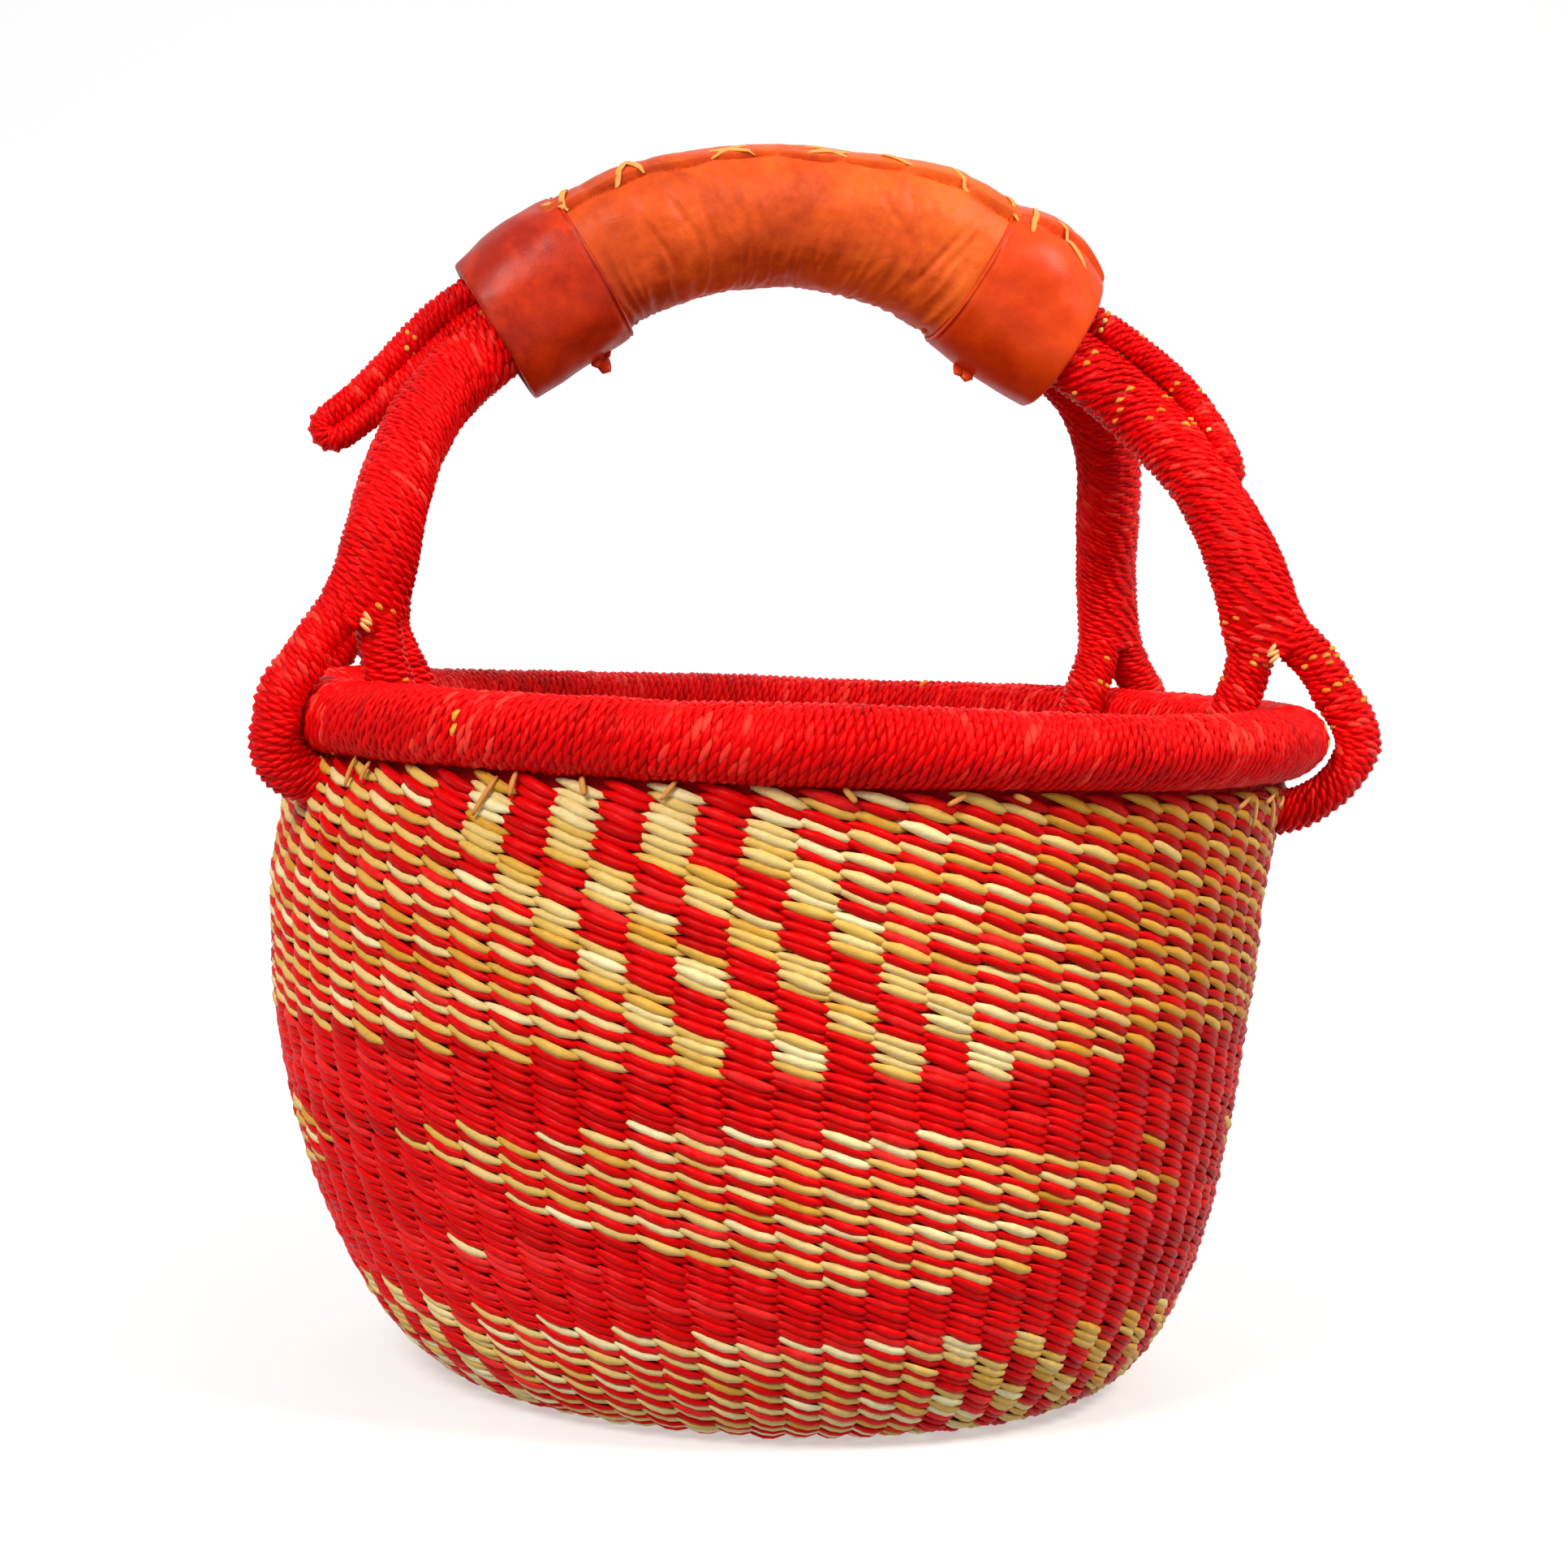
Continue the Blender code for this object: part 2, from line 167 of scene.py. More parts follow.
@dataclass(frozen=True)
class StrawFinish:
    """Split elephant-grass straw, boiled in dye or left plain: waxy and streaked lengthwise.

    The "strand" attribute gives millimetres along and across each straw, so that the streaks run
    with it, and the "dye" attribute gives each straw its own tone and the painted shade at its
    ends.
    """

    name: str
    tones: tuple[tuple[float, str], ...]
    streak: str
    # the colour of the painted shade at a straw's ends, where they dive into the weave
    end_shade: str
    streak_share: float = 0.35
    blotch_share: float = 0.30
    # how far the painted shade at the ends goes towards that colour
    end_shade_share: float = 0.6
    roughness: float = 0.42
    shine: float = 0.22

    def material(self) -> bpy.types.Material:
        """Builds the node material.

        Returns:
            The material.
        """
        material, shader = blank(self.name, self.roughness)
        tree = material.node_tree
        strand = add(tree, "ShaderNodeAttribute", {"attribute_name": "strand"})
        dye = add(tree, "ShaderNodeAttribute", {"attribute_name": "dye"})
        parts = add(tree, "ShaderNodeSeparateXYZ", links={"Vector": dye.outputs["Vector"]})
        # Its units are millimetres: a fibre is 0.33 mm wide and changes every 5 mm or so.
        fibre = add(
            tree,
            "ShaderNodeMapping",
            {"Scale": (0.10, 1.6, 1.6)},
            {"Vector": strand.outputs["Vector"]},
        )
        streaks = add(
            tree,
            "ShaderNodeTexNoise",
            {"Scale": 1.9, "Detail": 3.0, "Roughness": 0.6},
            {"Vector": fibre.outputs["Vector"]},
        )
        # The straw ripened in patches of about 3 mm.
        blotches = add(
            tree,
            "ShaderNodeTexNoise",
            {"Scale": 0.35, "Detail": 2.0},
            {"Vector": strand.outputs["Vector"]},
        )
        tone = add(
            tree,
            "ShaderNodeMath",
            {"operation": "MULTIPLY_ADD", 1: self.blotch_share},
            {0: blotches.outputs["Fac"], 2: parts.outputs["X"]},
        )
        base = add(
            tree, "ShaderNodeValToRGB", {"stops": self.tones}, {"Fac": tone.outputs["Value"]}
        )
        lines = add(
            tree,
            "ShaderNodeMapRange",
            {"From Min": 0.52, "From Max": 0.72, "To Min": 0.0, "To Max": self.streak_share},
            {"Value": streaks.outputs["Fac"]},
        )
        streaked = add(
            tree,
            "ShaderNodeMix",
            {"data_type": "RGBA", MIX_TINT: linear(self.streak)},
            {"Factor": lines.outputs["Result"], MIX_UNDER: base.outputs["Color"]},
        )
        # Painted shade: a straw darkens towards its ends, where it dives deep into the weave.
        deep = add(
            tree,
            "ShaderNodeMapRange",
            {"From Min": 0.72, "From Max": 1.0, "To Min": 0.0, "To Max": self.end_shade_share},
            {"Value": parts.outputs["Y"]},
        )
        shaded = add(
            tree,
            "ShaderNodeMix",
            {"data_type": "RGBA", MIX_TINT: linear(self.end_shade)},
            {"Factor": deep.outputs["Result"], MIX_UNDER: streaked.outputs[MIX_RESULT]},
        )
        tree.links.new(shaded.outputs[MIX_RESULT], shader.inputs["Base Color"])
        gloss = add(
            tree,
            "ShaderNodeMapRange",
            {"To Min": self.roughness - 0.08, "To Max": self.roughness + 0.16},
            {"Value": streaks.outputs["Fac"]},
        )
        tree.links.new(gloss.outputs["Result"], shader.inputs["Roughness"])
        bump = add(
            tree,
            "ShaderNodeBump",
            {"Strength": 0.35, "Distance": 0.15 * MM},
            {"Height": streaks.outputs["Fac"]},
        )
        tree.links.new(bump.outputs["Normal"], shader.inputs["Normal"])
        shader.inputs["Specular IOR Level"].default_value = self.shine
        return material


@dataclass(frozen=True)
class LeatherFinish:
    """Goatskin, dyed by hand: fine pebbled grain, soft creases and a dull polish.

    The hide took the dye unevenly, so its colour is cloudy.
    """

    name: str
    pale: str
    main: str
    deep: str
    roughness: float = 0.46
    grain_mm: float = 0.7
    grain_depth_mm: float = 0.06
    cloud_mm: float = 28.0
    wear_mm: float = 6.0
    crease_mm: float = 9.0
    wear_share: float = 0.45
    crease: float = 0.30
    # how fast the painted light pales the colour along X
    painted_light_drift: float = 2.6
    shine: float = 0.2

    def material(self) -> bpy.types.Material:
        """Builds the node material, in Object coordinates.

        Returns:
            The material.
        """
        material, shader = blank(self.name, self.roughness)
        tree = material.node_tree
        place = add(tree, "ShaderNodeTexCoord")
        where = place.outputs["Object"]
        clouds = add(
            tree,
            "ShaderNodeTexNoise",
            {
                "Scale": 1 / (self.cloud_mm * MM),
                "Detail": 4.0,
                "Roughness": 0.62,
                "Distortion": 0.6,
            },
            {"Vector": where},
        )
        worn = add(
            tree,
            "ShaderNodeTexNoise",
            {"Scale": 1 / (self.wear_mm * MM), "Detail": 5.0, "Roughness": 0.7},
            {"Vector": where},
        )
        pebbles = add(
            tree,
            "ShaderNodeTexVoronoi",
            {"Scale": 1 / (self.grain_mm * MM), "feature": "SMOOTH_F1"},
            {"Vector": where},
        )
        creases = add(
            tree,
            "ShaderNodeTexNoise",
            {"Scale": 1 / (self.crease_mm * MM), "Detail": 3.0, "Distortion": 1.4},
            {"Vector": where},
        )
        mixed = add(
            tree,
            "ShaderNodeMath",
            {"operation": "MULTIPLY_ADD", 1: self.wear_share},
            {0: worn.outputs["Fac"], 2: clouds.outputs["Fac"]},
        )
        # Painted light and shade: the colour pales along X, darker to the left and paler to the
        # right, where more light falls.
        axes = add(tree, "ShaderNodeSeparateXYZ", links={"Vector": where})
        dyed = add(
            tree,
            "ShaderNodeMath",
            {"operation": "MULTIPLY_ADD", 1: self.painted_light_drift},
            {0: axes.outputs["X"], 2: mixed.outputs["Value"]},
        )
        colour = add(
            tree,
            "ShaderNodeValToRGB",
            {"stops": ((0.42, self.deep), (0.70, self.main), (1.0, self.pale))},
            {"Fac": dyed.outputs["Value"]},
        )
        tree.links.new(colour.outputs["Color"], shader.inputs["Base Color"])
        gloss = add(
            tree,
            "ShaderNodeMapRange",
            {"To Min": self.roughness - 0.10, "To Max": self.roughness + 0.16},
            {"Value": worn.outputs["Fac"]},
        )
        tree.links.new(gloss.outputs["Result"], shader.inputs["Roughness"])
        folds = add(
            tree,
            "ShaderNodeBump",
            {"Strength": self.crease, "Distance": 1.2 * MM},
            {"Height": creases.outputs["Fac"]},
        )
        grain = add(
            tree,
            "ShaderNodeBump",
            {"Strength": 0.5, "Distance": self.grain_depth_mm * MM},
            {"Height": pebbles.outputs["Distance"], "Normal": folds.outputs["Normal"]},
        )
        tree.links.new(grain.outputs["Normal"], shader.inputs["Normal"])
        shader.inputs["Specular IOR Level"].default_value = self.shine
        return material


# Dried in the sun and split by hand: from bleached cream to ripe amber, no two straws alike.
NATURAL_STRAW = StrawFinish(
    name="natural_elephant_grass_straw",
    tones=(
        (0.0, "#B8780E"),
        (0.22, "#CA9226"),
        (0.45, "#D6AE52"),
        (0.75, "#DFC37E"),
        (1.10, "#EEE2B0"),
    ),
    streak="#A8741F",
    end_shade="#7A2A10",
)
# Boiled in red dye before weaving: full and even, with darker fibres and a soft waxy shine.
RED_STRAW = StrawFinish(
    name="red_dyed_straw",
    tones=((0.10, "#A80000"), (0.45, "#CE0002"), (0.80, "#DE0206"), (1.15, "#E82A28")),
    streak="#920000",
    end_shade="#6A0000",
    roughness=0.38,
    shine=0.08,
)
# The same red straw, rolled damp into two-ply cord: brighter, as its bent fibres face the light.
RED_CORD = StrawFinish(
    name="red_twisted_straw_cord",
    tones=((0.10, "#B40000"), (0.45, "#D60002"), (0.85, "#EA0206"), (1.15, "#F03A30")),
    streak="#A40000",
    end_shade="#A80000",
    roughness=0.40,
    shine=0.09,
)
# Undyed straw that was rolled in with the red: it shows as small amber flecks.
FLECKED_CORD = StrawFinish(
    name="undyed_fleck_in_cord",
    tones=((0.10, "#E0541A"), (0.45, "#E87A22"), (0.85, "#EFA83C"), (1.15, "#F6D884")),
    streak="#C4341A",
    end_shade="#B81410",
    shine=0.15,
)
# Bundled stems under the weave, dull and dark: painted shade, as they show only deep between
# stitches and in the cuffs' mouths.
SHADED_GRASS_CORE = StrawFinish(
    name="grass_core_with_painted_shade",
    tones=((0.10, "#7E0004"), (0.60, "#9C0006"), (1.10, "#B2040E")),
    streak="#4E0004",
    end_shade="#4E0004",
    roughness=0.7,
    shine=0.08,
)
# Thin straw, used undyed to lace the leather and to tie off: pale tan and a little rough.
LACING_STRAW = StrawFinish(
    name="tan_lacing_straw",
    tones=((0.10, "#C07A34"), (0.50, "#D9964A"), (1.10, "#EFC07A")),
    streak="#A86A2A",
    end_shade="#8A3A14",
    roughness=0.5,
)
# Thin goatskin, dyed orange by hand and sewn on damp: cloudy colour, slack folds, a dull polish.
SLEEVE_LEATHER = LeatherFinish(
    name="orange_goatskin_sleeve", pale="#E6641C", main="#CE4C12", deep="#A83408"
)
# Goatskin dyed twice, pulled tight over the sleeve's ends: redder, smoother and a little shinier.
CUFF_LEATHER = LeatherFinish(
    name="red_orange_goatskin_cuff",
    pale="#DC460A",
    main="#C43206",
    deep="#981C04",
    roughness=0.38,
    crease=0.12,
)


# ---- shapes shared by every piece


ACROSS_X = Matrix(((0, 0, 1), (1, 0, 0), (0, 1, 0)))  # turns a circle to face along X


def sweep(
    shape: bmesh.types.BMesh, stations: Sequence[Matrix], sides: int, closed: bool = False
) -> list[bmesh.types.BMVert]:
    """Bridges a circle at each station into a tube.

    Args:
        shape: The mesh that it is added to.
        stations: For each circle, a matrix whose first two columns span its plane.
        sides: How many corners each circle has.
        closed: True to join the last circle to the first, and False to cap both ends.

    Returns:
        The new vertices, circle after circle.
    """
    rings = []
    corners = []
    last = len(stations) - 1
    for index, station in enumerate(stations):
        cap = not closed and index in (0, last)
        ring = bmesh.ops.create_circle(
            shape, segments=sides, radius=1.0, matrix=station, cap_ends=cap
        )
        corners += ring["verts"]
        rings.append(list({edge for corner in ring["verts"] for edge in corner.link_edges}))
    for first, second in zip(rings, rings[1:] + (rings[:1] if closed else [])):
        bmesh.ops.bridge_loops(shape, edges=first + second)
    return corners


def made_object(name: str, mesh: bpy.types.Mesh) -> bpy.types.Object:
    """Links a new object for a mesh, at the origin and smooth.

    Args:
        name: The object's name.
        mesh: The mesh.

    Returns:
        The new object.
    """
    mesh.shade_smooth()
    piece = bpy.data.objects.new(name, mesh)
    bpy.context.scene.collection.objects.link(piece)
    return piece


def finished_mesh(shape: bmesh.types.BMesh, name: str, turn_out: bool = True) -> bpy.types.Mesh:
    """Turns a bmesh to a mesh and frees it.

    Args:
        shape: The bmesh.
        name: The mesh's name.
        turn_out: True to recalculate its normals outwards first.

    Returns:
        The new mesh.
    """
    if turn_out:
        bmesh.ops.recalc_face_normals(shape, faces=shape.faces[:])
    mesh = bpy.data.meshes.new(name)
    shape.to_mesh(mesh)
    shape.free()
    return mesh


def note_strands(mesh: bpy.types.Mesh, strand: np.ndarray, dye: np.ndarray) -> None:
    """Stores the two attributes that StrawFinish reads.

    Args:
        mesh: The mesh.
        strand: For each vertex, millimetres along and across its own straw.
        dye: Each vertex's tone, its nearness to the straw's end for painted shade, and a spare
            value.
    """
    for name, values in (("strand", strand), ("dye", dye)):
        layer = mesh.attributes.new(name, "FLOAT_VECTOR", "POINT")
        layer.data.foreach_set("vector", np.ascontiguousarray(values, np.float32).ravel())


def note_plain_strands(
    mesh: bpy.types.Mesh, tone: float, axes: tuple[int, int, int] = (0, 1, 2)
) -> None:
    """Stores the same two attributes for a piece whose straws run along one of its axes.

    Args:
        mesh: The mesh.
        tone: The tone of the whole piece.
        axes: The mesh's axes, with the one along the straws first.
    """
    points = points_of(mesh)
    note_strands(mesh, points[:, axes] / MM, np.tile((tone, 0.0, 0.0), (len(points), 1)))


def points_of(mesh: bpy.types.Mesh) -> np.ndarray:
    """A mesh's vertices as an array with a row for each.

    Args:
        mesh: The mesh.

    Returns:
        The array, in metres.
    """
    flat = np.empty(len(mesh.vertices) * 3, np.float32)
    mesh.vertices.foreach_get("co", flat)
    return flat.reshape(-1, 3)


@dataclass(frozen=True)
class HandShape:
    """How the maker's hand left the basket: it leans and bellies a little to its left.

    Each height shifts sideways, to the viewer's right where positive.
    """

    heights: tuple[float, ...] = (0.0, 0.03, 0.07, 0.10, 0.14, 0.165, 0.185, 0.23, 0.30, 0.36)
    shifts_mm: tuple[float, ...] = (0.0, -3.0, -6.4, -7.8, -7.2, -3.6, 1.6, 1.6, -0.8, -1.2)

    def apply(self, piece: bpy.types.Object) -> None:
        """Shifts a piece's vertices by their heights.

        Args:
            piece: The piece, with its place in its mesh.
        """
        points = points_of(piece.data)
        shift = np.interp(points[:, 2], self.heights, self.shifts_mm) * MM
        right = FRONT + math.pi / 2
        points[:, 0] += shift * math.cos(right)
        points[:, 1] += shift * math.sin(right)
        piece.data.vertices.foreach_set("co", points.ravel())
        piece.data.update()


HAND = HandShape()


def settle(
    piece: bpy.types.Object, finish: bpy.types.Material, nodes: Sequence[str]
) -> bpy.types.Object:
    """Dresses a piece, shapes it by hand and fixes it to the basket's body.

    Args:
        piece: The piece.
        finish: Its material.
        nodes: The CAD nodes that it stands for.

    Returns:
        The same piece.
    """
    piece.data.materials.append(finish)
    HAND.apply(piece)
    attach(piece, BODY)
    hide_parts(*nodes)
    LOG.info("%s: %d faces, stands for %s", piece.name, len(piece.data.polygons), ", ".join(nodes))
    return piece


@dataclass(frozen=True)
class StrandShape:
    """One visible stretch of straw: a bowed, leaning body that tapers to both ends."""

    length: float
    width: float
    thickness: float
    bow: float
    lean: float
    tip: float = 0.10
    fullness: float = 0.75
    dive: float = 1.0
    sides: int = 6
    places: tuple[float, ...] = (-1.0, -0.72, -0.30, 0.30, 0.72, 1.0)

    def build(self) -> bpy.types.Mesh:
        """Builds it along X, with its width along Y and its bow along Z.

        Returns:
            The mesh, closed at both ends.
        """
        shape = bmesh.new()
        stations = []
        for place in self.places:
            crown = max(math.cos(place * math.pi / 2), 0.0)
            full = self.tip + (1.0 - self.tip) * crown**self.fullness
            centre = Vector(
                (
                    place * self.length / 2,
                    -math.sin(place * math.pi / 2) * self.lean / 2,
                    self.bow * crown**self.dive,
                )
            )
            section = Matrix.Diagonal((full * self.width / 2, full * self.thickness / 2, 1.0))
            turned = ACROSS_X @ section
            stations.append(Matrix.Translation(centre) @ turned.to_4x4())
        sweep(shape, stations, self.sides)
        return finished_mesh(shape, "strand")


def scatter(
    name: str, strand: StrandShape, places: np.ndarray, tones: np.ndarray, seed: int
) -> bpy.types.Object:
    """Copies one straw to many places, as one piece.

    Args:
        name: The piece's name.
        strand: The straw's shape.
        places: A 4 by 4 matrix for each copy.
        tones: A tone from 0 to 1 for each copy.
        seed: For the shift that keeps one straw's streaks unlike the next one's.

    Returns:
        The new object.
    """
    model = strand.build()
    local = points_of(model).copy()
    joined = bmesh.new()
    for place in places:
        world = local @ place[:3, :3].T + place[:3, 3]
        model.vertices.foreach_set("co", world.astype(np.float32).ravel())
        joined.from_mesh(model)
    mesh = finished_mesh(joined, name, turn_out=False)
    bpy.data.meshes.remove(model)
    count = len(local)
    chance = np.random.default_rng(seed)
    shifts = np.repeat(chance.uniform(0.0, 400.0, (len(places), 3)), count, axis=0)
    # how near each vertex is to its straw's end, which the finish darkens as painted shade
    ends = np.tile(np.abs(local[:, 0]) / (strand.length / 2), len(places))
    tone = np.repeat(tones, count)
    note_strands(
        mesh,
        np.tile(local / MM, (len(places), 1)) + shifts,
        np.stack([tone, ends, np.zeros_like(tone)], axis=1),
    )
    return made_object(name, mesh)


def matrices(
    along: np.ndarray, across: np.ndarray, outward: np.ndarray, origin: np.ndarray
) -> np.ndarray:
    """Stacks three axes and an origin into a matrix for each place.

    Args:
        along: The first axis of each.
        across: The second axis of each.
        outward: The third axis of each.
        origin: The origin of each.

    Returns:
        The matrices, one after another.
    """
    result = np.zeros((len(origin), 4, 4))
    result[:, :3, 0] = along
    result[:, :3, 1] = across
    result[:, :3, 2] = outward
    result[:, :3, 3] = origin
    result[:, 3, 3] = 1.0
    return result


# ---- the wall


@dataclass
class Outline:
    """The wall's and base's middle surface, down from the wall's top and in to the centre."""

    foot: float
    widest: float
    top: float
    thickness: float
    swell_height: float = 0.150
    swell_steps: int = 240
    arcs: np.ndarray = field(init=False)
    rows: np.ndarray = field(init=False)

    def __post_init__(self) -> None:
        """Works out radius, height and outward normal along the outline."""
        swell = self.widest - self.foot
        turn = np.linspace(math.pi / 2, 0.0, self.swell_steps)
        radius = self.foot + swell * np.sin(turn)
        height = self.swell_height * (1.0 - np.cos(turn))
        normal = np.stack([np.sin(turn) / swell, -np.cos(turn) / self.swell_height], axis=1)
        normal /= np.linalg.norm(normal, axis=1)[:, None]
        straight = np.array([[self.widest, self.top, 1.0, 0.0]])
        curve = np.column_stack([radius, height, normal])
        disc = np.array([[share * self.foot, 0.0, 0.0, -1.0] for share in (0.66, 0.33, 0.0)])
        self.rows = np.concatenate([straight, curve, disc])
        self.rows[:, :2] -= self.rows[:, 2:] * self.thickness / 2
        steps = np.linalg.norm(np.diff(self.rows[:, :2], axis=0), axis=1)
        self.arcs = np.concatenate([[0.0], np.cumsum(steps)])

    def at(self, arc: np.ndarray) -> tuple[np.ndarray, ...]:
        """Radius, height and the normal's outward and upward parts, at distances along it."""
        return tuple(np.interp(arc, self.arcs, self.rows[:, part]) for part in range(4))

    def length_to(self, radius: float) -> float:
        """How far along the outline the base's disc shrinks to a radius."""
        inner = self.rows[::-1, 0]
        return float(np.interp(radius, inner, self.arcs[::-1]))


@dataclass
class Weave:
    """Pairs of straws twined round the stakes in one long spiral, from the rim to the centre."""

    outline: Outline
    stakes: int = 69
    row_pitch: float = 2.5 * MM
    first_row: float = 1.6 * MM
    stitch: StrandShape = StrandShape(
        length=20.4 * MM, width=3.5 * MM, thickness=2.1 * MM, bow=4.2 * MM, lean=4.5 * MM,
        tip=0.08, fullness=1.12, dive=0.55, sides=5,
        places=(-1.0, -0.84, -0.6, -0.2, 0.2, 0.6, 0.84, 1.0),
    )
    base_stitch: StrandShape = StrandShape(
        length=18.6 * MM, width=3.4 * MM, thickness=1.8 * MM, bow=3.5 * MM, lean=3.8 * MM,
        fullness=1.25, dive=0.7,
    )
    sink: float = 1.35 * MM
    least_squash: float = 0.72

    @property
    def nominal_pitch(self) -> float:
        """The distance between stakes where the wall is widest."""
        return 2 * math.pi * self.outline.widest / self.stakes

    def places(
        self,
        index: np.ndarray,
        arc: np.ndarray,
        stakes: int,
        face: Face,
        chance: np.random.Generator,
    ) -> np.ndarray:
        """A matrix for each stitch.

        Args:
            index: The number of the stake, counted on round the spiral.
            arc: How far down the outline each stitch lies.
            stakes: How many stakes the stitch's ring has.
            face: The side of the wall.
            chance: The source of the maker's small errors.

        Returns:
            The matrices.
        """
        azimuth = index * 2 * math.pi / stakes
        radius, height, out, up = self.outline.at(arc)
        cos, sin = np.cos(azimuth), np.sin(azimuth)
        outward = np.stack([out * cos, out * sin, up], axis=1)
        along = np.stack([-sin, cos, np.zeros_like(cos)], axis=1)
        across = np.cross(outward, along)
        origin = np.stack([radius * cos, radius * sin, height], axis=1)
        if face is Face.INSIDE:
            outward, along = -outward, -along
        count = len(index)
        pitch = 2 * math.pi * radius / stakes / self.nominal_pitch
        squash = np.clip(pitch, self.least_squash, 1.0)[:, None]
        squash = squash * chance.uniform(0.9, 1.08, (count, 1))
        origin = origin - outward * self.sink * squash
        origin = origin + across * chance.normal(0.0, 0.16 * MM, (count, 1))
        origin = origin + outward * chance.normal(0.0, 0.13 * MM, (count, 1))
        tilt = chance.normal(0.0, 0.022, (count, 1))
        turned = along + across * tilt
        stretch = pitch * chance.uniform(0.95, 1.06, count)
        width = chance.uniform(0.88, 1.10, (count, 1))
        return matrices(turned * stretch[:, None], across * width, outward * squash, origin)


@dataclass(frozen=True)
class Edge:
    """A motif's edge that moves sideways down a course, in degrees from the middle of the front."""

    start: float
    shift: float
    delay: float = 0.0

    def at(self, down: np.ndarray) -> np.ndarray:
        """Where it is at shares of the course's height, counted down from its top."""
        return self.start + self.shift * np.maximum(down - self.delay, 0.0)


@dataclass
class Pattern:
    """Which stitches show natural straw. The motifs repeat three times round the basket.

    Every azimuth is in degrees from the middle of the front, positive to the right.
    """

    stakes: int
    courses: dict[str, tuple[float, float]]
    repeat: float = 120.0
    block_rows: int = 4
    wedge: tuple[Edge, Edge] = (Edge(-45, 38), Edge(-5, 33))
    patch_left: tuple[Edge, Edge] = (Edge(-7, -170), Edge(-47, 70, delay=0.28))
    patch_right: tuple[Edge, Edge] = (Edge(19, 105), Edge(60, -60, delay=0.42))
    striped: tuple[float, float] = (-38, 23)
    stepped: tuple[float, float] = (42, 110)
    step: float = 5.0 * MM
    strays: float = 0.003

    def turn(self, azimuth: np.ndarray) -> np.ndarray:
        """Degrees from the middle of the front, wrapped into one repeat, positive to the right."""
        degrees = np.degrees(azimuth - FRONT)
        return (degrees + self.repeat / 2) % self.repeat - self.repeat / 2

    def course_of(self, height: np.ndarray, azimuth: np.ndarray) -> np.ndarray:
        """The number of each stitch's course in COURSES.

        Args:
            height: The height of each stitch.
            azimuth: Its azimuth.

        Returns:
            A whole number for each stitch.
        """
        side = np.degrees(azimuth - FRONT) % 360.0
        first, last = self.stepped  # where the top course ends a little higher
        step = np.where((side > first) & (side < last), self.step, 0.0)
        lows = [self.courses[name][0] for name in COURSES]
        result = np.zeros(len(height), int)
        for number, low in enumerate(lows[:-1]):
            lift = step if number == 0 else 0.0
            result = np.where(height < low + lift, number + 1, result)
        return result

    def natural(
        self,
        index: np.ndarray,
        azimuth: np.ndarray,
        height: np.ndarray,
        chance: np.random.Generator,
    ) -> np.ndarray:
        """True for each outside stitch of natural straw.

        Args:
            index: The stitch's number along the spiral.
            azimuth: Its azimuth.
            height: Its height.
            chance: The source of stray straws.

        Returns:
            A flag for each stitch.
        """
        row = index // self.stakes
        stake = index % self.stakes
        stripes = index % 2 == 0
        tier = np.maximum(row - self.block_rows, 0) // self.block_rows
        blocks = (stake + tier) % 2 == 0
        turn = self.turn(azimuth)
        course = self.course_of(height, azimuth)
        tops = np.array([self.courses[name][1] for name in COURSES])[course]
        lows = np.array([self.courses[name][0] for name in COURSES])[course]
        down = np.clip((tops - height) / np.maximum(tops - lows, MM), 0.0, 1.0)
        wedge = (turn > self.wedge[0].at(down)) & (turn < self.wedge[1].at(down))
        left = np.maximum(*(edge.at(down) for edge in self.patch_left))
        right = np.minimum(*(edge.at(down) for edge in self.patch_right))
        patch = (turn > left) & (turn < right)
        middle = (turn > self.striped[0]) & (turn < self.striped[1])
        result = np.zeros(len(index), bool)
        result = np.where(course == 0, np.where(wedge, blocks, stripes), result)
        result = np.where(course == 2, patch & stripes, result)
        result = np.where(course == 4, np.where(middle, stripes, blocks), result)
        stray = chance.random(len(index))
        red_course = (course == 1) | (course == 3) | ((course == 2) & ~patch)
        return np.where(red_course & (stray < self.strays), True, result)


